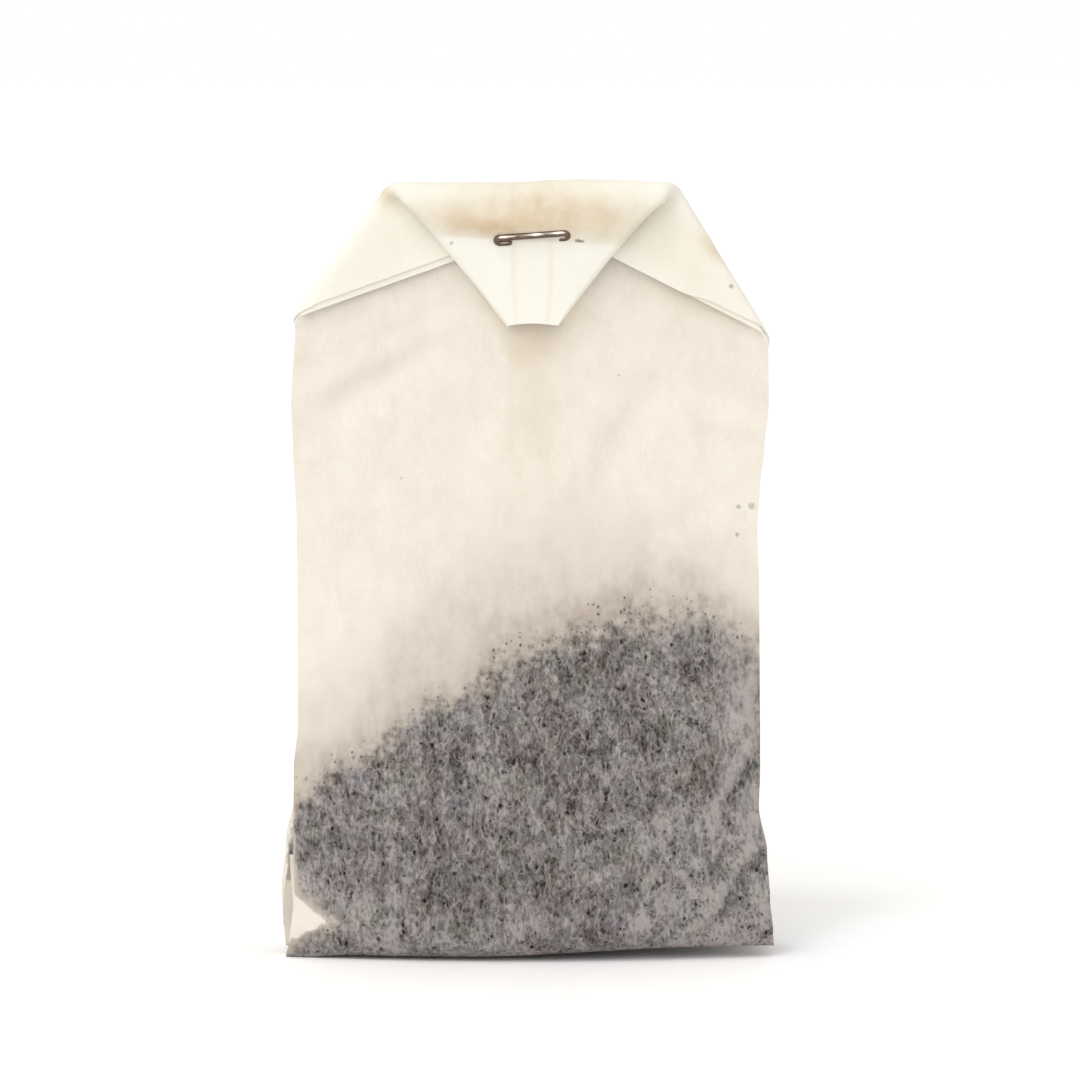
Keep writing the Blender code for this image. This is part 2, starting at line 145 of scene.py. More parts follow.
# %% [markdown]
# The light is that of a white studio table: one very broad lamp in front, a little to the left,
# and pale surroundings that fill the shadows. A sun lamp with a wide angle is such a broad
# lamp, and lights the whole table evenly. A second, small and faint, only puts a glint on the
# wire.

# %% Lamps
def add_lamp(name, azimuth, height, angle, power):
    """A lamp far away in the given direction, where azimuth 0 is straight in front."""
    made = bpy.data.objects.new(name, bpy.data.lights.new(name, "SUN"))
    bpy.context.scene.collection.objects.link(made)
    made.data.angle = math.radians(angle)
    made.data.energy = power
    turn, tilt = math.radians(azimuth), math.radians(height)
    level = math.cos(tilt)
    towards = Vector((math.sin(turn) * level, -math.cos(turn) * level, math.sin(tilt)))
    made.rotation_euler = towards.to_track_quat("Z", "Y").to_euler()


LAMP_STRENGTH = 0.88
GLINT_STRENGTH = 0.22
add_lamp("soft_lamp", azimuth=-25.0, height=33.0, angle=60.0, power=LAMP_STRENGTH)
add_lamp("small_lamp_for_the_glint", azimuth=-30.0, height=62.0, angle=9.0, power=GLINT_STRENGTH)
print("lamps", LAMP_STRENGTH, "and", GLINT_STRENGTH)

# %% [markdown]
# To the camera the world is plain white and the table is painted brighter than the bag finds
# it, so that the picture's ground is white, and the bag's shadow still lies on it. Light Path
# tells the rays that look at the ground directly from those that only carry its light.

# %% World and table
FILL = 0.725
FILL_COLOUR = "FFFDFB"
TABLE_COLOUR = "F0EFEF"
TABLE_SEEN = 1.19
TABLE_SIZE = 40.0


def seen_directly():
    """1 for rays from the camera, through glass and off metal, and 0 for all others."""
    path = node("LightPath").outputs
    direct = node("Math", path["Is Camera Ray"], path["Is Transmission Ray"], **LARGER)
    return node("Math", direct, path["Is Glossy Ray"], **LARGER)


world = bpy.data.worlds.new("white_studio")
world.use_nodes = True
tree = world.node_tree
tree.nodes.clear()
fill = node("Background", colour(FILL_COLOUR), FILL)
backdrop = node("Background", colour("FFFFFF"), 1.0)
node("OutputWorld", node("MixShader", seen_directly(), fill, backdrop))
bpy.context.scene.world = world
bpy.context.scene.view_settings.view_transform = "Standard"

bpy.ops.mesh.primitive_plane_add(size=TABLE_SIZE)
table_top = bpy.context.object
table_top.name = "table_top"
table_paint, tree = empty_material("matt_white_table")
paint = node("Mix", seen_directly(), colour(TABLE_COLOUR), (TABLE_SEEN,) * 3 + (1.0,), **TONE)
node("OutputMaterial", node("BsdfDiffuse", paint))
table_top.data.materials.append(table_paint)
print("fill", FILL, "table seen at", TABLE_SEEN)

# %% [markdown]
# The bag is one strip of filter paper. Its long edges are folded together into a seam, which
# makes a flat tube. The tube is folded in a W at its middle, so that two chambers stand side
# by side with the seam inside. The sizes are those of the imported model, and the ones that it
# shows are read from its box.

# %% Sizes of the folded tube
PAPER_THICKNESS = 0.05 * MM
LAYER_GAP = 0.06 * MM
SEAM_WIDTH = 3.0 * MM
SEAM_RAMP = 0.4 * MM
OUTER_RAMP = 6.0 * MM
SEAM_LAYERS = 3
SEAM_FADE_DEPTH = 1.0 * MM
LEG_OFFSET = 0.4 * MM
BAG_HEIGHT = paper_high.z
HALF_TUBE = paper_high.x - LEG_OFFSET
# Half widths in mm at heights in mm: filling draws the tube in, and the foot spreads
LEFT_EDGE = ((0, 20.9), (1.5, 20.6), (4.7, 20.1), (9, 20.2), (16, 20.15), (20, 19.8), (31, 19.85),
             (37, 19.95), (43, 20.25), (46.5, 20.4), (54, 20.0), (90, 20.0))
BACK_LEFT_EDGE = ((0, 21.2), (4.7, 21.6), (9, 21.2), (13, 20.4), (16, 20.0), (20, 19.7), (31, 19.75),
                  (43, 20.15), (46.5, 20.3), (54, 20.0), (56.5, 19.45), (90, 19.4))
RIGHT_EDGE = ((0, 20.5), (1.3, 20.45), (4.7, 20.15), (9, 19.9), (13, 19.2), (16, 19.3), (31, 19.25),
              (36.5, 19.1), (40, 19.35), (43, 19.7), (46.7, 20.05), (53, 20.0), (90, 20.0))
BACK_RIGHT_EDGE = ((0, 20.1), (9, 19.5), (13, 19.0), (31, 19.1), (36.5, 19.0), (43, 19.6),
                   (46.7, 19.95), (52, 20.0), (54.5, 19.55), (58, 19.6), (61, 20.05), (90, 20.1))
NECK_HEIGHT = BAG_HEIGHT - 14.6 * MM

CHAMBER_DEPTH = 5.8 * MM
CHAMBER_FULL_HEIGHT = 8.0 * MM
CHAMBER_TAPER = 20.0 * MM
LEG_GAP = 1.7 * MM
PILLOW_POWER = 2.2
CORNER_HEIGHT = 2.6 * MM
BASE_WIDTH = 2.6 * MM
BASE_INNER = 2.4 * MM
SIDE_BASE_WIDTH = 0.8 * MM
SIDE_BASE_INNER = 2.4 * MM
GUSSET_HEIGHT = 8.0 * MM
GUSSET_FOOT = 1.3 * MM
GUSSET_FOOT_HEIGHT = 1.4 * MM
SIDE_GUSSET_FOOT = 1.9 * MM
GUSSET_ROOF_GAP = 0.5 * MM
WEB_HEIGHT = 16.0 * MM

TEA_TOP_LEFT = 15.5 * MM
TEA_TOP_PEAK = 29.6 * MM
TEA_TOP_RIGHT = 26.5 * MM
TEA_PEAK_X = 11.0 * MM

FLAT_DEPTH = 2 * PAPER_THICKNESS + LAYER_GAP
SEAM_RISE = (SEAM_LAYERS - 1) * PAPER_THICKNESS
HALF_STACK = LAYER_GAP / 2 + FLAT_DEPTH
print("flat tube", round(2 * HALF_TUBE / MM, 1), "mm wide")


# %% [markdown]
# Shapes that change smoothly need a few small functions: an ease from 0 to 1, a blend, and
# evenly spaced steps. The profile of a chamber follows from them. Tea swells the tube in its
# middle and leaves its folded edges flat, so a section is a pillow.

# %% Profile of a chamber
def smooth(share):
    share = min(max(share, 0.0), 1.0)
    return share * share * (3 - 2 * share)


def between(first, second, share):
    return first + (second - first) * share


def steps(first, last, spacing):
    count = max(1, round(abs(last - first) / spacing))
    return [between(first, last, index / count) for index in range(count + 1)]


def tea_top(x):
    """Height of the tea's surface, which climbs from the left edge to a peak on the right."""
    if x < TEA_PEAK_X:
        share = (x + HALF_TUBE) / (TEA_PEAK_X + HALF_TUBE)
        return between(TEA_TOP_LEFT, TEA_TOP_PEAK, (share + math.sin(share * math.pi / 2)) / 2)
    return between(TEA_TOP_PEAK, TEA_TOP_RIGHT, smooth((x - TEA_PEAK_X) / (HALF_TUBE - TEA_PEAK_X)))


def pillow(u):
    """Share of the full swelling across the tube, where u runs from -1 to 1."""
    return max(1 - abs(u) ** PILLOW_POWER, 0.0)


def swelling(height, top):
    closed = top + CHAMBER_TAPER
    return CHAMBER_DEPTH * smooth((closed - height) / (closed - CHAMBER_FULL_HEIGHT))


def inner_distance(height):
    opening = smooth((NECK_HEIGHT - height) / (NECK_HEIGHT - CHAMBER_FULL_HEIGHT))
    return LAYER_GAP / 2 + LEG_GAP / 2 * opening


def leg_centre(height):
    return inner_distance(height) + (FLAT_DEPTH + swelling(height, tea_top(0.0))) / 2


def half_depth(u, height):
    return (FLAT_DEPTH + swelling(height, tea_top(u * HALF_TUBE)) * pillow(u)) / 2


def edge_at(height, table):
    """Half width from a table, eased between its rows."""
    for (low, first), (high, second) in zip(table, table[1:]):
        if height / MM <= high:
            return between(first, second, smooth((height / MM - low) / (high - low))) * MM
    return table[-1][1] * MM


def placed_x(u, height, side, apart=1.0):
    """Distance from the bag's middle plane to a place on a leg's wall."""
    own, common = (LEFT_EDGE, RIGHT_EDGE), (BACK_LEFT_EDGE, BACK_RIGHT_EDGE)
    if side > 0:
        own, common = common, own
    half = edge_at(height, own[u > 0])
    shared = (half + edge_at(height, common[u > 0])) / 2
    return u * between(shared, half, apart)


def seam_rise(u, height):
    """How far the folded seam lifts the outer wall where the two touch."""
    across = smooth((SEAM_WIDTH / 2 + OUTER_RAMP - abs(u) * HALF_TUBE) / OUTER_RAMP)
    touching = 1 - swelling(height, tea_top(0.0)) / SEAM_FADE_DEPTH
    return SEAM_RISE * across * max(touching, 0.0)


print("chamber depth at 8 mm:", round(2 * half_depth(0.0, 8 * MM) / MM, 2), "mm")


# %% [markdown]
# Below the tea's middle the wall turns round a flat foot and climbs into the W fold. That
# path is drawn in the (y, z) plane, once for the middle of the bag and once for its edges,
# out of arcs and straight runs. Every point between them is a blend of the two.

# %% Path round the foot
ROW = 0.55 * MM
WEB_ROWS = 24
CORNER_ROWS = 6
FOOT_ROWS = 5
RISE_ROWS = 4
GUSSET_ROWS = 12
MITRE_LIMIT = 0.5


def arc_points(centre, radii, first_angle, last_angle, count):
    angles = steps(first_angle, last_angle, abs(last_angle - first_angle) / count)[1:]
    return [
        Vector((centre[0] + radii[0] * math.cos(angle), centre[1] + radii[1] * math.sin(angle)))
        for angle in angles
    ]


def straight_points(first, last, count):
    return [first.lerp(last, share) for share in steps(0.0, 1.0, 1 / count)[1:]]


def base_path(belly, base_inner, base_width, gusset_foot):
    """Outer wall from the belly round the flat base and up the gusset."""
    heel = base_inner + base_width
    corner = (heel - belly, CORNER_HEIGHT)
    foot = (base_inner - gusset_foot, GUSSET_FOOT_HEIGHT)
    points = arc_points((-heel, CORNER_HEIGHT), corner, 0.0, -math.pi / 2, CORNER_ROWS)
    points += straight_points(points[-1], Vector((-base_inner, 0.0)), FOOT_ROWS)
    points += arc_points((-base_inner, GUSSET_FOOT_HEIGHT), foot, -math.pi / 2, 0.0, RISE_ROWS)
    top = Vector((-LAYER_GAP, GUSSET_HEIGHT - LAYER_GAP))
    points += straight_points(points[-1], top, GUSSET_ROWS)
    points.append(Vector((0.0, GUSSET_HEIGHT)))
    return points


def offset_path(points, distance):
    """The path moved to its left and mitred at its corners, without its first point."""
    moved = []
    for before, here, after in zip(points, points[1:], points[2:] + [None]):
        arrive = (here - before).normalized()
        leave = (after - here).normalized() if after else Vector((arrive.x, -arrive.y))
        left = Vector((-arrive.y, arrive.x))
        side = (left + Vector((-leave.y, leave.x))).normalized()
        moved.append(here + side * distance / max(side.dot(left), MITRE_LIMIT))
    return moved


print("rows from the web to the gusset:", WEB_ROWS + CORNER_ROWS + FOOT_ROWS + RISE_ROWS + GUSSET_ROWS + 1)


# %% [markdown]
# Thin paper is never flat. Where it is empty, all its layers buckle together in broad soft
# dents. Perlin noise gives the broad ones. Those that the eye notices are listed one by one, as
# a place, a direction, a size and a depth.

# %% Buckles of the empty paper
BUCKLE_SIZE = 13.0 * MM
BUCKLE_DEPTH = 0.55 * MM
CRUMPLE_SIZE = 4.5 * MM
CRUMPLE_DEPTH = 0.10 * MM
# Each dent in mm: x, z, half length, half width, slant in degrees, and its depth
FRONT_DENTS = (
    (-14.5, 47.8, 7.0, 2.0, 32.0, 0.75),
    (-13.2, 50.6, 6.0, 1.1, 30.0, -0.50),
    (-10.5, 53.0, 5.0, 1.1, 28.0, 0.30),
    (16.5, 47.2, 3.6, 1.5, -24.0, 0.75),
    (17.4, 44.9, 3.6, 0.8, -10.0, -0.50),
    (-12.8, 41.4, 2.6, 0.45, -62.0, -0.24),
    (-13.7, 41.0, 3.0, 0.7, -62.0, 0.20),
    (8.6, 45.0, 7.0, 1.6, 60.0, 0.42),
    (5.2, 44.0, 7.0, 1.5, 62.0, -0.30),
    (-6.0, 40.0, 9.0, 2.4, 78.0, 0.35),
    (10.5, 36.0, 5.0, 1.2, 18.0, 0.25),
)


def dent(x, z, place, unit=MM):
    """Depth of one soft dent at a point of the wall, with its depth given in the unit."""
    middle_x, middle_z, half_length, half_wide = (length * MM for length in place[:4])
    slant, depth = math.radians(place[4]), place[5] * unit
    along = Vector((math.cos(slant), math.sin(slant)))
    offset = Vector((x - middle_x, z - middle_z))
    reach = (offset.dot(along) / half_length) ** 2
    reach += ((offset.y * along.x - offset.x * along.y) / half_wide) ** 2
    return depth * math.exp(-reach)


def buckle(x, z):
    """How far all layers of the empty paper move together."""
    broad = noise.noise(Vector((x, 0.0, 0.6 * z)) / BUCKLE_SIZE)
    crumple = 1 - 2 * abs(noise.noise(Vector((x, 40 * MM, 0.7 * z)) / CRUMPLE_SIZE))
    empty = smooth((z - 27 * MM) / (14 * MM))
    edge = 1 - 0.6 * abs(x / HALF_TUBE) ** 4
    moved = BUCKLE_DEPTH * broad + CRUMPLE_DEPTH * crumple
    for place in FRONT_DENTS:
        moved += dent(x, z, place)
    return moved * empty * edge


print("dents:", len(FRONT_DENTS))

# %% [markdown]
# Where tea fills the paper, the leaves push it out in small lumps, which noise gives as well.
# Near the right foot the corner is pinched into two slanting pleats, and a few fainter ones
# cross the wall. A pleat is a ridge along a given line, with a hollow beside.

# %% Lumps and pleats over the tea
LUMP_SIZE = 5.0 * MM
LUMP_DEPTH = 0.26 * MM
GRAIN_SIZE = 1.7 * MM
GRAIN_DEPTH = 0.07 * MM
# Each pleat in mm: its line of (x, z) from foot to head, half width, height. Some are faint
FRONT_PLEATS = (
    (((12.8, 0.8), (15.2, 3.6), (16.1, 5.6), (17.0, 7.4), (18.2, 8.8), (20.2, 10.6)), 0.60, 0.54),
    (((15.2, 10.0), (15.5, 13.2), (16.7, 15.2), (18.3, 17.8), (18.9, 20.0)), 0.55, 0.42),
    (((-1.6, 1.8), (0.6, 3.6), (3.4, 7.6)), 0.60, 0.20),
    (((-18.0, 3.4), (-13.6, 1.4)), 0.50, 0.20),
    (((17.9, 19.5), (19.3, 27.5)), 0.60, 0.22),
    (((2.6, 22.2), (5.6, 24.6)), 0.45, 0.15),
)
PLEAT_HOLLOW = 1.8
PLEAT_FULL = 0.5


def pleat(spot, line, half_wide, height):
    """A ridge along a broken line, with a hollow on its right. All in millimetres."""
    nearest, run = (math.inf, 0.0, 0.0), 0.0
    for first, last in zip(line, line[1:]):
        first, step = Vector(first), Vector(last) - Vector(first)
        share = min(max((spot - first).dot(step) / step.length_squared, 0.0), 1.0)
        offset = spot - first - share * step
        if offset.length < nearest[0]:
            right = 1 if offset.x * step.y > offset.y * step.x else -1
            nearest = (offset.length, right, run + share * step.length)
        run += step.length
    away, right, along = nearest
    ends = smooth(4 * along / run) * smooth(4 * (run - along) / run)
    ridge = max(1 - away / half_wide, 0.0) ** 1.3
    hollow = math.exp(-((away / half_wide - PLEAT_HOLLOW) / 1.1) ** 2) if right > 0 else 0.0
    return height * ends * (ridge - 0.5 * hollow)


def pleats(x, z, side):
    """All pleats of the front wall together, in millimetres."""
    if side > 0:
        return 0.0
    spot = Vector((x, z)) / MM
    return sum(pleat(spot, *place) for place in FRONT_PLEATS) * smooth(z / (1.5 * MM))


def lumps(x, z, side):
    """How far the tea pushes one outer wall out."""
    seed = side * 90 * MM
    broad = noise.noise(Vector((x, seed, 0.8 * z)) / LUMP_SIZE)
    grain = noise.noise(Vector((x, seed, 0.8 * z)) / GRAIN_SIZE)
    filled = smooth((tea_top(x) + 3 * MM - z) / (6 * MM)) * smooth(z / (3 * MM))
    inside = smooth((HALF_TUBE - abs(x)) / (3 * MM))
    pushed = (LUMP_DEPTH * broad + GRAIN_DEPTH * grain) * filled * inside
    return pushed + pleats(x, z, side) * MM


print("pleats:", len(FRONT_PLEATS))


# %% [markdown]
# The tube is lofted from rings. A ring runs along the outer wall from left to right and back
# along the inner wall, which carries the seam and hardly shows, so its columns are wider
# apart. The rings go from one open end of the tube down the front leg, through the W fold and
# up the back leg. A loft by hand is the right tool here, because no primitive has this form.

# %% Rings of the tube
OUTER_COLUMN = 0.55 * MM
INNER_COLUMN = 1.1 * MM
FLAP_LENGTH = 10.3 * MM
FOLD_RADIUS = 0.08 * MM
OVERLAP_LIFT = 2 * HALF_STACK + FOLD_RADIUS
CORNER_AXIS_Y = -HALF_STACK - SEAM_RISE - FOLD_RADIUS
CORNER_RADIUS = HALF_STACK - CORNER_AXIS_Y
CORNER_ARC = math.pi * (CORNER_RADIUS - HALF_STACK)
HEAD_AXIS_Y = CORNER_AXIS_Y - CORNER_RADIUS - OVERLAP_LIFT - FOLD_RADIUS
HEAD_RADIUS = HALF_STACK - HEAD_AXIS_Y
HEAD_UNSTRETCHED = 0.66
HEAD_ARC = math.pi * HEAD_RADIUS * HEAD_UNSTRETCHED
HEAD_FOLD_HEIGHT = BAG_HEIGHT - HEAD_RADIUS - SEAM_RISE
FLAP_START = HEAD_FOLD_HEIGHT + HEAD_ARC
TUBE_END = FLAP_START + FLAP_LENGTH


def tube_columns(spacing):
    """Places across the tube, from -1 to 1, with columns at both edges of the seam."""
    right = steps(0.0, SEAM_WIDTH / 2, spacing)
    right += steps(SEAM_WIDTH / 2 + SEAM_RAMP, HALF_TUBE, spacing)
    return [-x / HALF_TUBE for x in reversed(right[1:])] + [x / HALF_TUBE for x in right]


outer_columns = tube_columns(OUTER_COLUMN)
inner_columns = tube_columns(INNER_COLUMN)


def leg_rings():
    """Rings from the open end of the tube down to where the W fold begins."""
    rings = []
    for height in steps(TUBE_END, WEB_HEIGHT, ROW):
        centre = leg_centre(height)
        outer = []
        for u in outer_columns:
            deep = centre + half_depth(u, height) + seam_rise(u, height)
            outer.append(Vector((u, -deep, height)))
        inner = []
        for u in inner_columns:
            deep = centre - half_depth(u, height)
            inner.append(Vector((u, -deep, height)))
        rings.append((1.0, outer, inner))
    return rings


def fold_rings():
    """Rings of the W fold: down the chamber, round its base and up to the top of the gusset."""
    heights = steps(WEB_HEIGHT, CORNER_HEIGHT, (WEB_HEIGHT - CORNER_HEIGHT) / WEB_ROWS)
    middle_outer = [Vector((-leg_centre(z) - half_depth(0.0, z), z)) for z in heights]
    side_outer = [Vector((-leg_centre(z) - FLAT_DEPTH / 2, z)) for z in heights]
    middle_outer += base_path(-middle_outer[-1].x, BASE_INNER, BASE_WIDTH, GUSSET_FOOT)
    side_outer += base_path(-side_outer[-1].x, SIDE_BASE_INNER, SIDE_BASE_WIDTH, SIDE_GUSSET_FOOT)
    side_inner = offset_path(side_outer, FLAT_DEPTH)
    middle_outer = middle_outer[1:]
    side_outer = side_outer[1:]

    roof = GUSSET_HEIGHT + GUSSET_ROOF_GAP
    over = (-inner_distance(WEB_HEIGHT), roof - WEB_HEIGHT)
    middle_inner = arc_points((0.0, WEB_HEIGHT), over, 0.0, math.pi / 2, len(side_outer))
    rings = []
    for index, walls in enumerate(zip(middle_outer, side_outer, middle_inner, side_inner)):
        apart = min(1.0, (len(side_outer) - 1 - index) / GUSSET_ROWS)
        out = [walls[1].lerp(walls[0], pillow(u)) for u in outer_columns]
        into = [walls[3].lerp(walls[2], math.sqrt(pillow(u))) for u in inner_columns]
        outer = [Vector((u, place.x, place.y)) for u, place in zip(outer_columns, out)]
        inner = [Vector((u, place.x, place.y)) for u, place in zip(inner_columns, into)]
        rings.append((apart, outer, inner))
    return rings


half_tube_rings = leg_rings() + fold_rings()
print("rings:", 2 * len(half_tube_rings) - 1, "of", len(outer_columns) + len(inner_columns), "points")


# %% [markdown]
# Some things are stored on the points of the sheet while it is still easy to say where they
# are. One is how deep the place lies inside the tea that touches the paper, in millimetres,
# which the material reads to let leaves show through. The other is the same for the tea of
# the other chamber, which only shows as a haze. The bottom left corners of both chambers
# have an empty pocket that no leaf has reached. The third is the distance from the tube's
# middle, by which the material finds the seam. The fourth says where a pleat lifts the paper
# off the leaves, where it looks paler, and where its hollow lies, which is painted darker as
# shade. The last is 1 where the paper lies in many layers, which are whiter: in the folds, and
# on the back where the folded corners lie under it.

# %% Where tea lies behind the paper
LEFT_MARGIN = 0.1 * MM
RIGHT_MARGIN = -0.3 * MM
EDGE_STEEPNESS = 14.0
# Height of the front tea's edge in mm, as it shows through, at places across the bag
FRONT_SHORE_X = (-20.0, -15.4, -11.2, -7.0, -2.7, 1.5, 5.8, 10.0, 14.3, 19.1, 21.0)
FRONT_SHORE_Z = (14.0, 17.3, 20.8, 22.8, 25.0, 27.0, 27.9, 29.4, 29.8, 27.4, 26.4)
# The haze of the tea behind climbs higher in the middle of the bag, and less at its right
HAZE_X = (-20.0, -13.0, -8.0, -3.0, 2.5, 7.5, 12.5, 17.0)
HAZE_RISE = (0.0, 1.2, 3.0, 3.5, 2.7, 1.6, -2.0, -2.6)
NO_TEA = -20.0
# The empty pocket: tip x, z, and its height at the bag's edge
POCKET_TIP = (-16.2 * MM, 3.0 * MM)
POCKET_EDGE_LOW = 0.8 * MM
POCKET_EDGE_HIGH = 5.9 * MM
BACK_POCKET_TOP = 6.4 * MM


def pocket_depth(x, z):
    """How far a place lies inside the empty pocket, in metres, negative outside it."""
    share = (POCKET_TIP[0] - x) / (POCKET_TIP[0] + HALF_TUBE)
    low = between(POCKET_TIP[1], POCKET_EDGE_LOW, share)
    high = between(POCKET_TIP[1], POCKET_EDGE_HIGH, share)
    return min(z - low, high - z)


def shore_at(x, side):
    """Height of the tea's edge on one side of the bag."""
    return np.interp(x / MM, FRONT_SHORE_X, FRONT_SHORE_Z) * MM if side < 0 else tea_top(x)


def tea_behind(x, z, side):
    """Depth inside the tea that touches the outer wall, in millimetres."""
    margin = LEFT_MARGIN if x < 0 else RIGHT_MARGIN
    at_edge = EDGE_STEEPNESS * (HALF_TUBE - margin - abs(x))
    pocket = max(3 * (z - BACK_POCKET_TOP), x + 0.75 * HALF_TUBE)
    if side < 0:
        pocket = -2.2 * pocket_depth(x, z)
    return min(shore_at(x, side) - z, at_edge, pocket) / MM


def haze_behind(x, z, side):
    """Depth below the edge of the haze, with the empty pockets left clear, in millimetres."""
    depth = shore_at(x, side) - z
    if side < 0:
        depth += np.interp(x / MM, HAZE_X, HAZE_RISE) * MM
    clear = pocket_depth(x, z) if side < 0 else (BACK_POCKET_TOP - z)
    if clear > 0 and x < 0:
        depth = between(depth, NO_TEA * MM, smooth(clear / (0.8 * MM)))
    return depth / MM


print("tea stands", round(tea_top(0.0) / MM, 1), "mm high in the middle")

# %% [markdown]
# Now the sheet itself. First, where each of its points goes: the relief is added to each
# ring, and the ring goes to its side of the bag. The foot stands off the table a little, at
# the front hem and towards the right corner. The values above are stored with every point.

# %% Place the rings
HEM_LIFT = 0.30 * MM
HEM_START = 1.8 * MM
HEM_REACH = 1.6 * MM
HEM_FADE = 5.0 * MM
HEM_TOP = 5.0 * MM
CORNER_LIFT = 0.72 * MM
CORNER_LIFT_START = -6.0 * MM
CORNER_LIFT_REACH = 20.0 * MM
CORNER_LIFT_TOP = 12.0 * MM
RIGHT_VEIL = 0.45
RIGHT_VEIL_X = 12.5 * MM
RIGHT_VEIL_Z = 7.0 * MM
RIGHT_VEIL_REACH = 5.0 * MM
LEFT_VEIL = 0.25
LEFT_VEIL_X = 16.5 * MM
LEFT_VEIL_REACH = 2.5 * MM
# The layers behind the back wall: how much whiter they make it, from which height, over what
LAYERS_BEHIND = ((0.4, 50.0 * MM, 6.0 * MM), (0.6, 57.0 * MM, 7.0 * MM))
ATTRIBUTES = ("tea_behind", "haze_behind", "across", "lift_and_hollow_shade", "closed")


def foot_lift(x, deep, z):
    """How far the paper stands off the table: at the front hem, and at the right corner."""
    hem = HEM_LIFT * smooth((deep - HEM_START) / HEM_REACH) * (1 - smooth(z / HEM_TOP))
    hem *= smooth((x + HALF_TUBE) / HEM_FADE)
    corner = CORNER_LIFT * smooth((x - CORNER_LIFT_START) / CORNER_LIFT_REACH)
    corner *= 1 - smooth(z / CORNER_LIFT_TOP)
    return hem + corner


def veil_at(x, z):
    """How loosely the paper lies over the leaves near the bag's edges."""
    right = RIGHT_VEIL * smooth((x - RIGHT_VEIL_X) / RIGHT_VEIL_REACH)
    right *= smooth((z - RIGHT_VEIL_Z) / RIGHT_VEIL_REACH)
    return right + LEFT_VEIL * smooth((-x - LEFT_VEIL_X) / LEFT_VEIL_REACH)


def placed_ring(ring, side):
    """Rows of a ring: each point with its stored values in the order of ATTRIBUTES.
    Side is -1 for the front leg and 1 for the back leg."""
    apart, outer, inner = ring
    placed = []
    for u, depth, z in outer:
        x = placed_x(u, z, side, apart)
        y = -side * (depth - lumps(x, z, side)) + buckle(x, z)
        place = Vector((x, y, z + foot_lift(x, -depth, z)))
        flat_x = u * HALF_TUBE
        tea, haze = tea_behind(flat_x, z, side), haze_behind(flat_x, z, side)
        # Pleat ridges lift the paper off the leaves; their hollows come out negative and are painted
        # darker as shade
        lift_and_hollow_shade = pleats(x, z, side) / PLEAT_FULL + veil_at(x, z)
        layered = sum(share * smooth((z - start) / reach) for share, start, reach in LAYERS_BEHIND)
        placed.append((place, tea, haze, flat_x / MM, lift_and_hollow_shade, layered if side > 0 else 0.0))
    for u, depth, z in reversed(inner):
        x = placed_x(u, z, side, apart)
        place = Vector((x, -side * depth + buckle(x, z), z + foot_lift(x, 0.0, z)))
        tea = tea_behind(u * HALF_TUBE, z, 1)
        placed.append((place, tea, NO_TEA, HALF_TUBE / MM, 0.0, 0.0))
    return placed


grid = [placed_ring(ring, -1) for ring in half_tube_rings]
grid += [placed_ring(ring, 1) for ring in half_tube_rings[-2::-1]]
ring_points = len(grid[0])
print("rings placed:", len(grid), "with", len(ATTRIBUTES), "stored values")

# %% [markdown]
# The rings are joined with faces. The seam's columns go into a vertex group, so that one
# Solidify modifier can give the paper its thickness and the seam its three layers.

# %% Loft the sheet and make it thick
def loft_sheet():
    """A mesh of all rings, with the stored values as attributes of its points."""
    points = [point for ring in grid for point in ring]
    faces = []
    for upper in range(0, len(points) - ring_points, ring_points):
        lower = upper + ring_points
        for index in range(ring_points):
            beside = (index + 1) % ring_points
            faces.append((upper + index, lower + index, lower + beside, upper + beside))
    mesh = bpy.data.meshes.new("filter_paper_sheet")
    mesh.from_pydata([point[0] for point in points], [], faces)
    for place, name in enumerate(ATTRIBUTES, start=1):
        values = mesh.attributes.new(name, "FLOAT", "POINT").data
        values.foreach_set("value", [point[place] for point in points])
    return mesh


def evaluated_mesh(thing):
    """The mesh of an object with its modifiers or its bevel applied."""
    bpy.context.view_layer.update()
    return bpy.data.meshes.new_from_object(thing.evaluated_get(bpy.context.evaluated_depsgraph_get()))


sheet = bpy.data.objects.new("filter_paper_sheet", loft_sheet())
bpy.context.scene.collection.objects.link(sheet)
seam_columns = [
    len(outer_columns) + place
    for place, u in enumerate(reversed(inner_columns))
    if abs(u) * HALF_TUBE < (SEAM_WIDTH + SEAM_RAMP) / 2
]
seam = sheet.vertex_groups.new(name="seam")
seam.add([ring * ring_points + column for ring in range(len(grid)) for column in seam_columns],
         1.0, "REPLACE")
solidify = sheet.modifiers.new("paper thickness", "SOLIDIFY")
solidify.thickness = PAPER_THICKNESS * SEAM_LAYERS
solidify.offset = -1.0
solidify.vertex_group = "seam"
solidify.thickness_vertex_group = 1 / SEAM_LAYERS
thick_mesh = evaluated_mesh(sheet)
bpy.data.objects.remove(sheet)
print("faces of the thick sheet:", len(thick_mesh.polygons))

# %% [markdown]
# The bag is closed as it is by hand: left corner, right corner, then the head, all folded to
# the front. A fold here bends the whole stack round an axis that lies just before it, so the
# layers keep their order. The paper is first cut along many close lines across the fold, so
# that the bend is round and its edge is crisp, whatever way the mesh runs below it.

# %% Folding tools
CUT_PRECISION = 0.0001 * MM
CUT_REACH = 2.0 * MM
CORNER_PIECES = 6
HEAD_PIECES = 12


def cut(paper, point, direction):
    """Cuts the faces along a plane, among those that lie near it."""
    near = [vert for vert in paper.verts if abs((vert.co - point).dot(direction)) < CUT_REACH]
    faces = {face for vert in near for face in vert.link_faces}
    edges = {edge for face in faces for edge in face.edges}
    verts = {vert for face in faces for vert in face.verts}
    bmesh.ops.bisect_plane(paper, geom=[*verts, *edges, *faces], plane_co=point,
                           plane_no=direction, dist=CUT_PRECISION)


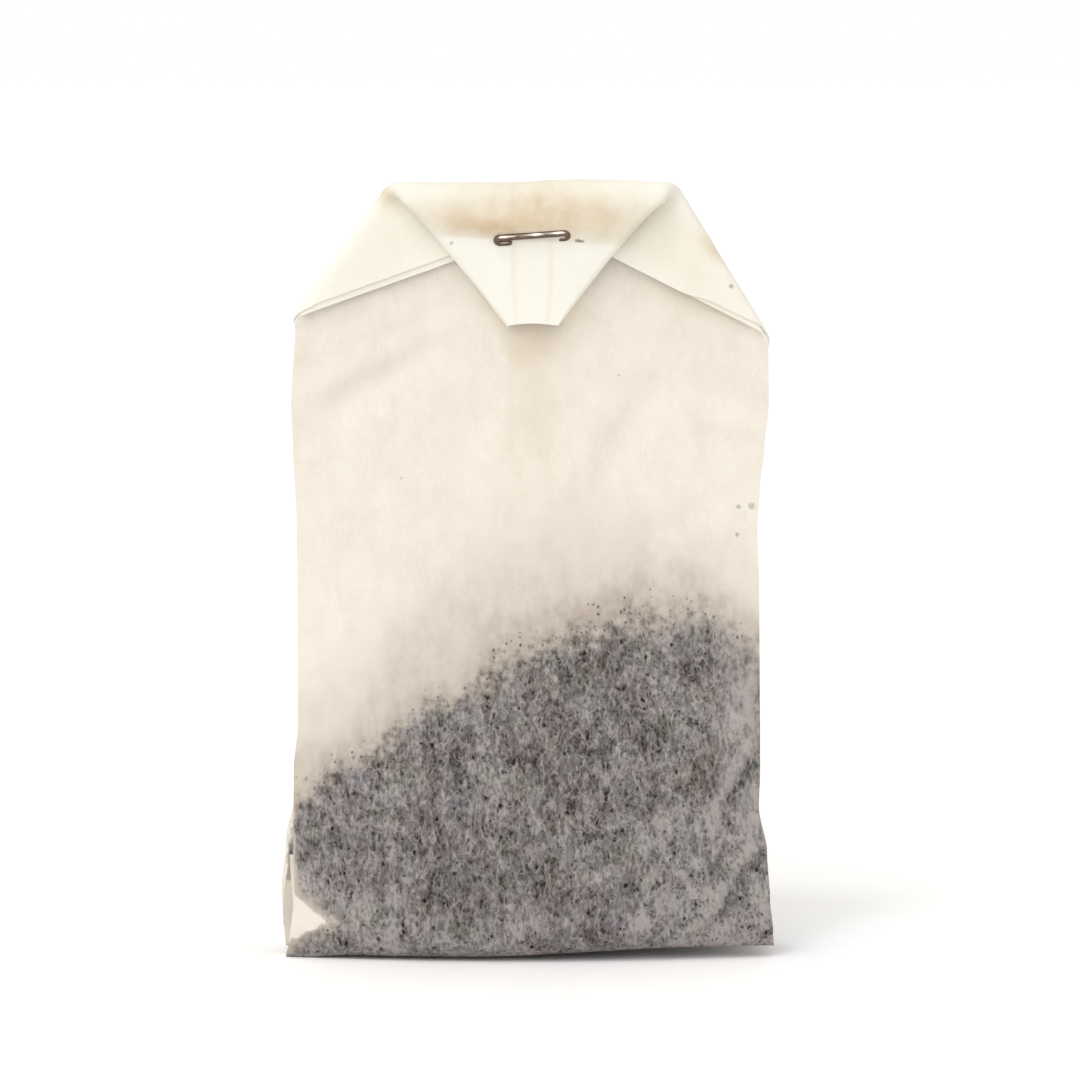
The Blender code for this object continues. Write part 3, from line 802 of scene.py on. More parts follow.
def bend(paper, point, direction, axis_y, arc, pieces):
    """Folds all paper past a line half a turn to the front. Returns all that is folded, and
    the part of it that lies flat."""
    for index in range(pieces + 1):
        cut(paper, point + direction * arc * index / pieces, direction)
    closed = paper.verts.layers.float["closed"]
    folded, flat = [], []
    for vert in paper.verts:
        past = (vert.co - point).dot(direction)
        if past <= 0.0:
            continue
        vert[closed] = 1.0
        folded.append(vert)
        height = vert.co.y - axis_y
        piece = min(int(past / arc * pieces), pieces - 1)
        share = min(past / arc * pieces - piece, 1.0)
        first = piece / pieces * math.pi
        last = (piece + 1) / pieces * math.pi
        reach = height * between(math.sin(first), math.sin(last), share) - max(past - arc, 0.0)
        vert.co += direction * (reach - past)
        vert.co.y = axis_y + height * between(math.cos(first), math.cos(last), share)
        if past > arc - CUT_PRECISION:
            flat.append(vert)
    return folded, flat


print("a corner fold is", round(CORNER_ARC / MM, 2), "mm of paper, the head fold", round(HEAD_ARC / MM, 2))

# %% [markdown]
# The corners. Each is turned in along a slanting line from its shoulder. The point of the
# right one climbs over the left one where they cross, and its free edge stands a little off
# the bag and throws a soft shadow.

# %% Fold the corners
LEFT_SHOULDER = BAG_HEIGHT - 11.5 * MM
RIGHT_SHOULDER = BAG_HEIGHT - 13.0 * MM
LEFT_CORNER_ANGLE = math.radians(35.2)
RIGHT_CORNER_ANGLE = math.radians(31.6)
OVERLAP_START = 8.0 * MM
OVERLAP_END = 4.5 * MM
RIGHT_EDGE_LIFT = 0.10 * MM
LEFT_EDGE_LIFT = -0.16 * MM
EDGE_LIFT_REACH = 5.0 * MM


def lift_edge(corner, shoulder, direction, lift):
    """Raises the free edge of a folded corner, most in the middle of its length."""
    edge = Vector((-direction.z, 0.0, direction.x))
    slant = 2 * math.atan2(direction.z, abs(direction.x))
    along = Vector((-math.copysign(math.sin(slant), direction.x), 0.0, math.cos(slant)))
    for vert in corner:
        offset = vert.co - shoulder
        run = offset.x * along.x + offset.z * along.z
        off = abs(offset.x * along.z - offset.z * along.x)
        near = 1 - smooth(off / EDGE_LIFT_REACH)
        vert.co.y -= lift * near * smooth(run / (6 * MM)) * smooth((20 * MM - run) / (8 * MM))


def fold_left_corner(paper):
    direction = Vector((-math.cos(LEFT_CORNER_ANGLE), 0.0, math.sin(LEFT_CORNER_ANGLE)))
    point = Vector((-HALF_TUBE, 0.0, LEFT_SHOULDER)) - direction * CORNER_RADIUS
    _, corner = bend(paper, point, direction, CORNER_AXIS_Y, CORNER_ARC, CORNER_PIECES)
    lift_edge(corner, point, direction, LEFT_EDGE_LIFT)


def fold_right_corner(paper):
    direction = Vector((math.cos(RIGHT_CORNER_ANGLE), 0.0, math.sin(RIGHT_CORNER_ANGLE)))
    point = Vector((HALF_TUBE, 0.0, RIGHT_SHOULDER)) - direction * CORNER_RADIUS
    _, corner = bend(paper, point, direction, CORNER_AXIS_Y, CORNER_ARC, CORNER_PIECES)
    for vert in corner:
        share = smooth((OVERLAP_START - vert.co.x) / (OVERLAP_START - OVERLAP_END))
        vert.co.y -= OVERLAP_LIFT * share
    lift_edge(corner, point, direction, RIGHT_EDGE_LIFT)


paper = bmesh.new()
paper.from_mesh(thick_mesh)
paper.verts.layers.float.new("on_flap")
fold_left_corner(paper)
fold_right_corner(paper)
print("faces after the corners:", len(paper.faces))

# %% [markdown]
# The head. Its flap bulges over the thick corners, is pulled tight by the staple and leans on
# the bag below it, down to a narrow tip. That profile is what makes the flap bright at the top
# fold, dark just above the staple and bright again below.

# %% Fold the head
UP = Vector((0.0, 0.0, 1.0))
STAPLE_HEIGHT = BAG_HEIGHT - 4.45 * MM
CREASE_DROP = 0.6 * MM
CREASE_SLOPE = -0.05
LEFT_TIP_PULL = 1.35 * MM
RIGHT_TIP_PULL = 2.45 * MM
PULL_POWER = 0.57
FLAP_PRESS = 0.6 * MM
TIP_LEAN = 0.9 * MM
TOP_BULGE = 0.80 * MM
BULGE_HALF_WIDTH = 13.0 * MM
TIP_NOTCH = 0.18 * MM


def crease_at(x):
    """Height of the crease that the staple presses into the flap."""
    return STAPLE_HEIGHT - CREASE_DROP + CREASE_SLOPE * x


def flap_rise(x, z):
    """How far the flap stands off: a bulge above the staple's crease, and pressed on below it."""
    crease = crease_at(x)
    share = min((z - crease) / (HEAD_FOLD_HEIGHT - crease), 1.0)
    pressed = FLAP_PRESS * smooth(1.8 * (1 - share))
    if share > 0.0:
        middle = max(1 - (x / BULGE_HALF_WIDTH) ** 2, 0.0)
        rise = math.sin(math.pi * share) if share < 0.5 else smooth(2 - 2 * share)
        return TOP_BULGE * middle * rise - pressed
    down = min((crease - z) / (crease - HEAD_FOLD_HEIGHT + FLAP_LENGTH), 1.0)
    return -pressed - TIP_LEAN * (1 - (1 - down) ** 1.4)


def flap_pull(x, down):
    """How far the flap's paper is drawn to its middle: most at its side edges and its tip."""
    angle = LEFT_CORNER_ANGLE if x < 0 else RIGHT_CORNER_ANGLE
    shoulder = LEFT_SHOULDER if x < 0 else RIGHT_SHOULDER
    pull = LEFT_TIP_PULL if x < 0 else RIGHT_TIP_PULL
    edge = HALF_TUBE - math.tan(angle) * (FLAP_START + down * FLAP_LENGTH - shoulder)
    return -math.copysign(pull * down ** PULL_POWER * min(abs(x) / edge, 1.0) ** 2, x)


def fold_head(paper):
    folded, flap = bend(paper, UP * HEAD_FOLD_HEIGHT, UP, HEAD_AXIS_Y, HEAD_ARC, HEAD_PIECES)
    on_flap = paper.verts.layers.float["on_flap"]
    for vert in folded:
        vert[on_flap] = 1.0
    for vert in flap:
        down = min(max((HEAD_FOLD_HEIGHT - vert.co.z) / FLAP_LENGTH, 0.0), 1.0)
        vert.co.y -= flap_rise(vert.co.x, vert.co.z)
        vert.co.x += flap_pull(vert.co.x, down)
        vert.co.z += TIP_NOTCH * smooth(3 * down - 2) * (1 - smooth(abs(vert.co.x) / (2.6 * MM)))


fold_head(paper)
print("faces after the head:", len(paper.faces))

# %% [markdown]
# Tan is laid into the thick paper, partly as stains and partly as painted shade. Round the
# staple the crease collects dust of the tea, and the dip above it is painted darker as shade.
# Below the flap, along its edges and in the tight corners of the folds, the tan is painted shade
# where shadow falls. It is soft, so it is stored on the mesh. Each stain or patch of painted
# shade is a place, a size, a slant and a strength, and belongs to the flap or to what lies below it.

# %% Tan stains and painted shade in the folds
# Each stain or patch of painted shade in mm: x, z, half length, half width, slant in degrees, and its
# strength
# The marks round the staple are painted shade of the dip there, mixed with tea dust; the small upright one
# is a tea stain; the one at the top left is painted shade in the gap by the corner
FLAP_STAINS_AND_SHADE = (
    (1.0, 63.3, 9.0, 2.5, -3.0, 0.70), (-1.5, 61.9, 5.0, 1.0, 4.0, 0.30),
    (-5.2, 62.2, 4.0, 1.1, -8.0, 0.50), (7.5, 61.8, 5.0, 1.6, -4.0, 0.30),
    (0.7, 64.4, 1.8, 0.4, 88.0, 0.30), (-12.3, 64.3, 1.3, 0.8, -50.0, 0.6),
)
# Painted shade below the flap's tip, along its edges and in the gap at the top left corner, with faint tan
# patches on the corners, a smudge at the right and a patch over the middle of the wall
WALL_STAINS_AND_SHADE = (
    (-0.4, 52.2, 2.6, 2.4, 90.0, 0.34), (-0.6, 47.4, 4.2, 3.0, 84.0, 0.14),
    (-4.8, 55.6, 5.0, 1.6, -50.0, 0.12), (4.8, 55.0, 5.0, 1.7, 48.0, 0.15),
    (-12.3, 64.3, 1.3, 0.8, -50.0, 0.6), (15.1, 60.0, 1.3, 0.5, -48.0, 0.5),
    (-12.5, 59.5, 6.0, 3.0, 55.0, 0.18), (13.0, 59.0, 7.0, 3.5, -55.0, 0.26),
    (0.0, 42.0, 9.0, 6.0, 90.0, 0.10),
)
# Tan stains and painted shade, a share for each point
stain_and_shade = paper.verts.layers.float.new("stain_and_shade")
above_crease = paper.verts.layers.float.new("above_crease")
on_flap = paper.verts.layers.float["on_flap"]
for vert in paper.verts:
    flap = vert[on_flap] > 0.5
    if vert.co.y < 0:
        stains_and_shade = FLAP_STAINS_AND_SHADE if flap else WALL_STAINS_AND_SHADE
        vert[stain_and_shade] = min(sum(dent(vert.co.x, vert.co.z, place, 1.0) for place in stains_and_shade), 1.0)
    vert[above_crease] = (vert.co.z - crease_at(vert.co.x)) / MM if flap else 1.0
print("stains:", len(FLAP_STAINS_AND_SHADE) + len(WALL_STAINS_AND_SHADE))

# %% [markdown]
# The folded mesh becomes the piece that stands for the plain paper solid. It is shaded smooth,
# and only its sharp folds and the cut edges of the sheet keep a crease.

# %% Put the paper in place
SHARP_FOLD = math.radians(60.0)
filter_paper_mesh = bpy.data.meshes.new("filter_paper_folded")
paper.to_mesh(filter_paper_mesh)
paper.free()
filter_paper_mesh.shade_smooth()
filter_paper_mesh.set_sharp_from_angle(angle=SHARP_FOLD)
folded_paper = bpy.data.objects.new("folded_filter_paper", filter_paper_mesh)
bpy.context.scene.collection.objects.link(folded_paper)
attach(folded_paper, "root")
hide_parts("filter_paper")
triangles = sum(len(face.vertices) - 2 for face in filter_paper_mesh.polygons)
print("triangles of the paper:", triangles)

# %% [markdown]
# Tea filter paper is a thin web of long abaca and wood fibres, laid down wet with most of
# them along the web. It is cream, matt and half see-through, and whiter where it lies in
# many layers. Leaves that touch it show as dark specks under a veil of paler fibres. Real
# see-through paper would need the leaves rendered behind it at great cost, so the paper's
# colour carries what shows through. Every pattern's scale is a real size: streaks of cut leaf
# 0.2 to 0.6 mm, clumps of 1 to 2 mm and fibres about 0.1 mm thick. First the coordinates that
# carry the patterns. One is warped by a fine noise, so that no edge is smooth. The other is
# also squeezed upright, since the web's fibres stand upright here and draw every speck out.

# %% Filter paper material
WARP_MM = 0.45
WARP_REACH = 0.3 * MM
UPRIGHT_TURN = 3.0
UPRIGHT_SQUEEZE = 0.55

paper_material, tree = empty_material("long_fibre_tea_filter_paper")
place = node("TexCoord").outputs["Object"]
across_wide_high = node("SeparateXYZ", place).outputs
stored = {
    name: node("Attribute", attribute_name=name).outputs["Fac"]
    for name in (*ATTRIBUTES, "stain_and_shade", "above_crease")
}


def turned(vector, degrees, upright):
    """The vector turned in the plane of the wall, with its height scaled."""
    spun = node("VectorRotate", {"Vector": vector, "Angle": math.radians(degrees)},
                rotation_type="Y_AXIS")
    return node("VectorMath", spun, (1.0, 1.0, upright), **TIMES)


warp = node("TexNoise", place, scale_of(WARP_MM)).outputs["Color"]
shift = node("VectorMath", warp, (0.5, 0.5, 0.5), **MINUS)
ragged = node("VectorMath", shift, (WARP_REACH,) * 3, place, operation="MULTIPLY_ADD")
upright = turned(ragged, UPRIGHT_TURN, UPRIGHT_SQUEEZE)
print("values read from the paper:", len(stored))

# %% [markdown]
# How thick the tea lies decides how dark it looks: streaks, clumps and broad fields add up.
# Low in the bag and towards the right the paper lies looser on the leaves, so it is paler.
# The shore, where the tea ends, is ragged in the same way, coarse and fine.

# %% Where leaves show, and how thickly
GRAIN_MM = 0.30
CLUMP_MM = 1.0
SHORE_MM = 0.8
FIELD_MM = 4.5
PATCH_MM = 5.0
GRAIN_SHARE = 0.38
CLUMP_SHARE = 0.36
FIELD_SHARE = 0.26
PINCH = 0.11

grain = node("TexNoise", upright, scale_of(GRAIN_MM), 2.0, 0.62)
clump = node("TexNoise", upright, scale_of(CLUMP_MM), 4.0, 0.66)
field = node("TexNoise", place, scale_of(FIELD_MM))
patch = node("TexNoise", place, scale_of(PATCH_MM), 3.0, 0.55)
coarse = node("MapRange", patch, 0.3, 0.7, -1.0, 0.9, **SMOOTH)
broad_shore = node("Math", stored["tea_behind"], coarse, **PLUS)
fine = node("TexNoise", ragged, scale_of(SHORE_MM), 3.0, 0.6)
fine = node("MapRange", fine, 0.3, 0.7, -1.0, 1.0, **SMOOTH)
shore = node("Math", broad_shore, fine, **PLUS)
tea_cover = node("MapRange", shore, -0.9, 2.4, **SMOOTH)

thickness = node("Math", grain, GRAIN_SHARE, **TIMES)
for pattern, share in ((clump, CLUMP_SHARE), (field, FIELD_SHARE)):
    thickness = node("Math", thickness, node("Math", pattern, share, **TIMES), **PLUS)
height = across_wide_high["Z"]
at_foot = node("MapRange", height, 0.0, 10 * MM, 0.046, 0.0, **SMOOTH)
low = node("MapRange", height, 9 * MM, 17 * MM, 0.052, 0.008, **SMOOTH)
to_the_right = node("MapRange", across_wide_high["X"], 4 * MM, 14 * MM, **SMOOTH)
low = node("Math", low, to_the_right, **TIMES)
# Paler at the foot, low on the right and on the pleats' ridges; darker in the pleats' hollows as painted
# shade
for looser in (at_foot, low, node("Math", stored["lift_and_hollow_shade"], PINCH, **TIMES)):
    thickness = node("Math", thickness, looser, **MINUS)
print("streaks of leaf", GRAIN_MM, "mm, clumps", CLUMP_MM, "mm")

# %% [markdown]
# Single crumbs of leaf press against the paper and show nearly black. A Voronoi texture has
# one point in each cell, and a random number for the cell decides if a crumb lies there, more
# often in the clumps. Two sizes are laid over each other. Beyond the shore a few lie loose.

# %% Black crumbs of leaf
LEAF_MM = 0.68
SMALL_LEAF = 0.48
STRAY_LEAF = 0.55
CRUMB_TURN = 3.0
CRUMB_SQUEEZE = 0.8


def crumbs(size_mm, density, core, softness):
    """Dark crumbs in random cells, as many as the density lets through."""
    cells = node("TexVoronoi", turned(ragged, CRUMB_TURN, CRUMB_SQUEEZE), scale_of(size_mm))
    dot = node("MapRange", cells, core, core + softness, 1.0, 0.0, **SMOOTH)
    luck = node("SeparateColor", cells.outputs["Color"])
    chosen = node("MapRange", node("Math", density, luck, **MINUS), 0.0, 0.24, **SMOOTH)
    return node("Math", dot, chosen, **TIMES)


in_tea = node("MapRange", shore, -2.4, 1.2, **SMOOTH)
crowded = node("MapRange", clump, 0.40, 0.62, 0.14, 0.90, **SMOOTH)
crowded = node("Math", in_tea, crowded, **TIMES)
small = node("Math", crumbs(SMALL_LEAF * LEAF_MM, crowded, 0.14, 0.30), 0.75, **TIMES)
black = node("Math", crumbs(LEAF_MM, crowded, 0.12, 0.24), small, **LARGER)
pressed = node("MapRange", stored["lift_and_hollow_shade"], 0.0, 0.7, 1.0, 0.2, **SMOOTH)
black = node("Math", black, pressed, **TIMES)
sparse = crumbs(STRAY_LEAF * LEAF_MM, node("Math", in_tea, 0.6, **TIMES), 0.16, 0.30)
print("crumbs of", LEAF_MM, "mm and", round(SMALL_LEAF * LEAF_MM, 2), "mm")

# %% [markdown]
# The long fibres are the thin lines where a smooth noise passes through its middle value. A
# second noise breaks them up. They run three ways, most of them nearly upright.

# %% Fibres over the leaves
FIBRE_MM = 0.9
FIBRE_BREAK_MM = 1.4
# Each family of fibres: its slant in degrees, how far it is drawn out, and its width
FIBRE_FAMILIES = ((6.0, 0.28, 0.040), (-16.0, 0.34, 0.034), (40.0, 0.5, 0.026))
fibres = 0.0
for degrees, drawn_out, width in FIBRE_FAMILIES:
    strand = node("TexNoise", turned(ragged, degrees, drawn_out), scale_of(FIBRE_MM), 1.5)
    line = node("Math", node("Math", strand, 0.5, **MINUS), **UNSIGNED)
    line = node("MapRange", line, 0.0, width, 1.0, 0.0, **SMOOTH)
    broken = node("TexNoise", turned(place, degrees + 60, 1.0), scale_of(FIBRE_BREAK_MM))
    broken = node("MapRange", broken, 0.40, 0.62, **SMOOTH)
    fibres = node("Math", node("Math", line, broken, **TIMES), fibres, **LARGER)
print("families of fibres:", len(FIBRE_FAMILIES))

# %% [markdown]
# The colours are laid over each other like washes. Over the tea they go from the pale veil to
# the dark of thick leaf, with a faint tint of all hues, then crumbs, fibres and the ridges of
# the pleats.

# %% Colours over the tea
VEIL = "AAA4A2"
LEAF_MID = "757170"
LEAF_DARK = "443B37"
LEAF_BLACK = "1E1613"
FIBRE = "C0B7B1"
TINT_MM = 3.0
TINT = 0.022

middling = node("MapRange", thickness, 0.35, 0.51, **SMOOTH)
over_tea = node("Mix", middling, colour(VEIL), colour(LEAF_MID), **TONE)
thick = node("MapRange", thickness, 0.48, 0.61, **SMOOTH)
over_tea = node("Mix", thick, over_tea, colour(LEAF_DARK), **TONE)
hues = node("TexNoise", place, scale_of(TINT_MM)).outputs["Color"]
over_tea = node("Mix", TINT, over_tea, hues, blend_type="LINEAR_LIGHT", **TONE)
light_fibres = node("Math", fibres, 0.45, **TIMES)
ridge = node("MapRange", stored["lift_and_hollow_shade"], 0.1, 0.9, 0.0, 0.38, **SMOOTH)
for share, tone in ((black, LEAF_BLACK), (light_fibres, FIBRE), (ridge, FIBRE)):
    over_tea = node("Mix", share, over_tea, colour(tone), **TONE)
print("colours over the tea ready")

# %% [markdown]
# The empty wall is cream with soft clouds, where the web of fibres is thicker or thinner. It
# is whiter in the folds, tan in its stains and in painted shade below the flap and in the
# folds, and above the tea it takes the haze of the leaves that lie farther behind it.

# %% Colours of the empty paper
PAPER = "F7F0E4"
PAPER_CLOSED = "FFFDF1"
PAPER_CLOUD = "E7DECF"
# Tan of the stains, of the painted shade and of the seam lines
TAN = "D3B586"
HAZE = "C4B7A9"
HAZE_NEAR = "A89C91"
CLOUD_MM = 2.0
MOTTLE_MM = 1.8

cloud = node("TexNoise", upright, scale_of(CLOUD_MM), 4.0, 0.65)
cloud = node("MapRange", cloud, 0.25, 0.75, **SMOOTH)
cloud = node("Math", cloud, node("MapRange", patch, 0.3, 0.7, 0.4, 1.0, **SMOOTH), **TIMES)
pale_fibres = node("Math", fibres, 0.22, **TIMES)
mottle = node("TexNoise", place, scale_of(MOTTLE_MM), 3.0, 0.6)
mottle = node("MapRange", mottle, 0.30, 0.70, 0.58, 0.84, **SMOOTH)
# Tan stains and painted shade below the flap and in the folds; on the flap only above the staple's crease
tan_stain_and_shade = node("Math", stored["stain_and_shade"], mottle, **TIMES)
above = node("MapRange", stored["above_crease"], -0.1, 0.35, **SMOOTH)
tan_stain_and_shade = node("Math", tan_stain_and_shade, above, **TIMES)
haze = node("MapRange", stored["haze_behind"], -13.0, 1.5, **SMOOTH)
haze = node("Math", haze, node("MapRange", cloud, 0.0, 1.0, 0.55, 0.80, **SMOOTH), **TIMES)
near = node("MapRange", broad_shore, -4.5, 0.5, **SMOOTH)
near = node("Math", near, node("MapRange", clump, 0.3, 0.7, 0.35, 0.75, **SMOOTH), **TIMES)
hazed = node("MapRange", stored["haze_behind"], -15.0, -7.0, **SMOOTH)
near = node("Math", near, hazed, **TIMES)

cloudy = node("Math", cloud, 0.62, **TIMES)
bare = node("Mix", cloudy, colour(PAPER), colour(PAPER_CLOUD), **TONE)
washes = (
    (stored["closed"], PAPER_CLOSED), (pale_fibres, PAPER_CLOSED), (tan_stain_and_shade, TAN),
    (haze, HAZE), (near, HAZE_NEAR),
)
for share, tone in washes:
    bare = node("Mix", share, bare, colour(tone), **TONE)
paper_colour = node("Mix", tea_cover, bare, over_tea, **TONE)
stray = node("Math", sparse, node("Math", 0.9, tea_cover, **MINUS), **TIMES)
paper_colour = node("Mix", stray, paper_colour, colour(LEAF_DARK), **TONE)
print("washes on the empty paper:", len(washes))

# %% [markdown]
# The seam's three layers show through the flap as two faint upright lines. A few loose crumbs
# have worked through the empty paper, each at its own place.

# %% Seam lines and loose crumbs
SEAM_LINE = 1.65
SEAM_LINE_WIDTH = 0.5
FRONT_DEPTH = 0.3 * MM
# Each crumb: x, z and radius in mm, and how dark it is
LOOSE_CRUMBS = (
    (-6.75, 60.5, 0.14, 0.45), (3.75, 60.75, 0.13, 0.6), (3.98, 60.73, 0.16, 0.7),
    (4.22, 60.70, 0.14, 0.55), (-19.1, 52.1, 0.18, 0.3), (16.8, 56.8, 0.16, 0.45),
    (11.3, 50.7, 0.13, 0.4), (7.3, 49.3, 0.11, 0.3), (9.4, 45.0, 0.11, 0.3),
    (-11.0, 40.5, 0.10, 0.3), (17.5, 38.1, 0.17, 0.42), (18.6, 38.2, 0.25, 0.36),
    (17.4, 35.8, 0.18, 0.45),
)
offset = node("Math", node("Math", stored["across"], **UNSIGNED), SEAM_LINE, **MINUS)
offset = node("Math", offset, **UNSIGNED)
seam_line = node("MapRange", offset, 0.0, SEAM_LINE_WIDTH, 1.0, 0.0, **SMOOTH)
shows = node("MapRange", stored["closed"], 0.0, 1.0, 0.02, 0.10, **SMOOTH)
seam_line = node("Math", seam_line, shows, **TIMES)
paper_colour = node("Mix", seam_line, paper_colour, colour(TAN), **TONE)
in_front = node("MapRange", across_wide_high["Y"], -FRONT_DEPTH, 0.0, 1.0, 0.0, **SMOOTH)
flat_place = node("VectorMath", ragged, (1.0, 0.0, 1.0), **TIMES)
for x, z, radius, dark in LOOSE_CRUMBS:
    away_from = node("VectorMath", flat_place, (x * MM, 0.0, z * MM), operation="DISTANCE")
    crumb = node("MapRange", away_from, 0.5 * radius * MM, 1.5 * radius * MM, dark, 0.0, **SMOOTH)
    crumb = node("Math", crumb, in_front, **TIMES)
    paper_colour = node("Mix", crumb, paper_colour, colour(LEAF_DARK), **TONE)
print("loose crumbs:", len(LOOSE_CRUMBS))

# %% [markdown]
# The paper is matt, with a fine tooth from its fibres and leaves, and crinkles that are
# deeper in the folds. A bump is enough for relief of a few hundredths of a millimetre.

# %% Relief and shader of the paper
CRINKLE_MM = 3.2
RELIEF_DEPTH = 0.05 * MM
PAPER_ROUGHNESS = 0.88
PAPER_GLOSS = 0.2

relief = node("Math", fibres, 0.35, **TIMES)
for pattern, share in ((cloud, 0.5), (grain, 0.4)):
    relief = node("Math", relief, node("Math", pattern, share, **TIMES), **PLUS)
crinkle = node("TexNoise", place, scale_of(CRINKLE_MM), 3.0)
deeper = node("MapRange", stored["closed"], 0.0, 1.0, 2.0, 6.0, **SMOOTH)
relief = node("Math", relief, node("Math", crinkle, deeper, **TIMES), **PLUS)
bump = node("Bump", {"Height": relief, "Strength": 0.5, "Distance": RELIEF_DEPTH})
shader = node("BsdfPrincipled", {
    "Base Color": paper_colour, "Roughness": PAPER_ROUGHNESS,
    "Specular IOR Level": PAPER_GLOSS, "Normal": bump})
node("OutputMaterial", shader)
folded_paper.data.materials.append(paper_material)
print("paper material:", len(tree.nodes), "nodes")

# %% [markdown]
# The flat cut of the sheet is a strip 94 mm wide, the web that makes a 40 mm tube with its
# seam, and as long as the tube measured once up and once down.

# %% [markdown]
# Black tea for bags is cut small: broken flakes of rolled leaf, 0.5 to 1.2 mm long, dark brown
# and dry, which gives the eye a rough, matt, uneven brown.

# %% Leaf material
LEAF_GRAIN_MM = 0.8
LEAF_DEEP = "1C120D"
LEAF_BROWN = "5A3D2A"
LEAF_ROUGHNESS = 0.75

leaf_material, tree = empty_material("broken_black_tea")
leaf_grain = node("TexNoise", node("TexCoord").outputs["Object"], scale_of(LEAF_GRAIN_MM), 3.0)
leaf_tone = node("Mix", leaf_grain, colour(LEAF_DEEP), colour(LEAF_BROWN), **TONE)
leaf_bump = node("Bump", {"Height": leaf_grain, "Strength": 0.6, "Distance": 0.1 * MM})
leaf_shader = node("BsdfPrincipled", {
    "Base Color": leaf_tone, "Roughness": LEAF_ROUGHNESS, "Normal": leaf_bump})
node("OutputMaterial", leaf_shader)
print("leaf material:", len(tree.nodes), "nodes")

# %% [markdown]
# The flakes fill each chamber as a loose heap. A heap is the imported solid, a little slimmer
# so that it stays inside the paper, with a crust of flakes on it. The flakes are spread over
# its faces by area, each with its own size and turn, from a seeded random order.

# %% Tea heaps
FLAKES = 1500
FLAKE_SIZE = 0.5 * MM
FLAKE_SINK = 0.35
FLAKE_SHAPE = (1.0, 0.55, 0.3)
HEAP_INSET = 0.70 * MM
HEAP_NARROWING = 0.90


def slim_heap(cad_name):
    """The CAD heap, a little slimmer, so that its crust stays inside the paper."""
    heap = bmesh.new()
    heap.from_mesh(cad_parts[cad_name].data)
    bmesh.ops.triangulate(heap, faces=heap.faces[:])
    heap.normal_update()
    inward = [(vert, vert.normal.copy()) for vert in heap.verts]
    for vert, normal in inward:
        vert.co -= normal * HEAP_INSET * pillow(vert.co.x / HALF_TUBE)
        vert.co.x *= HEAP_NARROWING
        vert.co.z += foot_lift(vert.co.x, 0.0, vert.co.z)
    heap.faces.ensure_lookup_table()
    return heap


def add_flakes(heap, chance):
    """Sets broken flakes into the heap's surface."""
    areas = np.array([face.calc_area() for face in heap.faces])
    chosen = chance.choice(len(areas), size=FLAKES, p=areas / areas.sum())
    starts = [
        (face.normal.copy(), [vert.co.copy() for vert in face.verts])
        for face in (heap.faces[index] for index in chosen)
    ]
    for normal, corners in starts:
        shares = chance.dirichlet((1.0, 1.0, 1.0))
        spot = sum((corner * share for corner, share in zip(corners, shares)), Vector())
        spot -= normal * FLAKE_SIZE * FLAKE_SINK
        size = FLAKE_SIZE * chance.uniform(0.6, 1.3)
        angle = chance.uniform(0, math.tau)
        turn = Matrix.Rotation(angle, 4, Vector(chance.normal(size=3)).normalized())
        shape = Matrix.Diagonal((*(size * side for side in FLAKE_SHAPE), 1.0))
        bmesh.ops.create_cube(heap, size=1.0, matrix=Matrix.Translation(spot) @ turn @ shape)


def add_heap(name, cad_name, seed):
    heap = slim_heap(cad_name)
    add_flakes(heap, np.random.default_rng(seed))
    mesh = bpy.data.meshes.new(name)
    heap.to_mesh(mesh)
    heap.free()
    made = bpy.data.objects.new(name, mesh)
    bpy.context.scene.collection.objects.link(made)
    made.data.materials.clear()
    made.data.materials.append(leaf_material)
    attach(made, "root")
    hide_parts(cad_name)


add_heap("tea_in_front_chamber", "tea_front", 3)
add_heap("tea_in_back_chamber", "tea_back", 4)
print("flakes in each heap:", FLAKES)

# %% [markdown]
# The staple is bent from drawn steel wire. Its crown lies across the flap, a little crooked.
# At each end the wire turns back under the crown in a small loop, longer on the left, goes
# through the paper and is clinched behind. A curve with a round bevel is the natural tool for
# wire: its middle line is drawn once for a half, and mirrored for the other.

# %% Middle line of the wire
WIRE_DIAMETER = 0.55 * MM
CROWN_WIDTH = 6.55 * MM
STAPLE_X = 0.2 * MM
STAPLE_TILT = math.radians(-4.5)
STAPLE_TURN = math.radians(-3.6)
BEND_RADIUS = 0.40 * MM
LOOP_RADIUS = 0.32 * MM
LOOP_DROP = 0.43 * MM
LOOP_DEPTH = 0.50 * MM
LEFT_RETURN = 0.5 * MM
RIGHT_RETURN = 0.15 * MM
CLINCH_LENGTH = 1.4 * MM
CROWN_SINK = 0.12 * MM
STAND_OFF = SEAM_RISE + WIRE_DIAMETER / 2


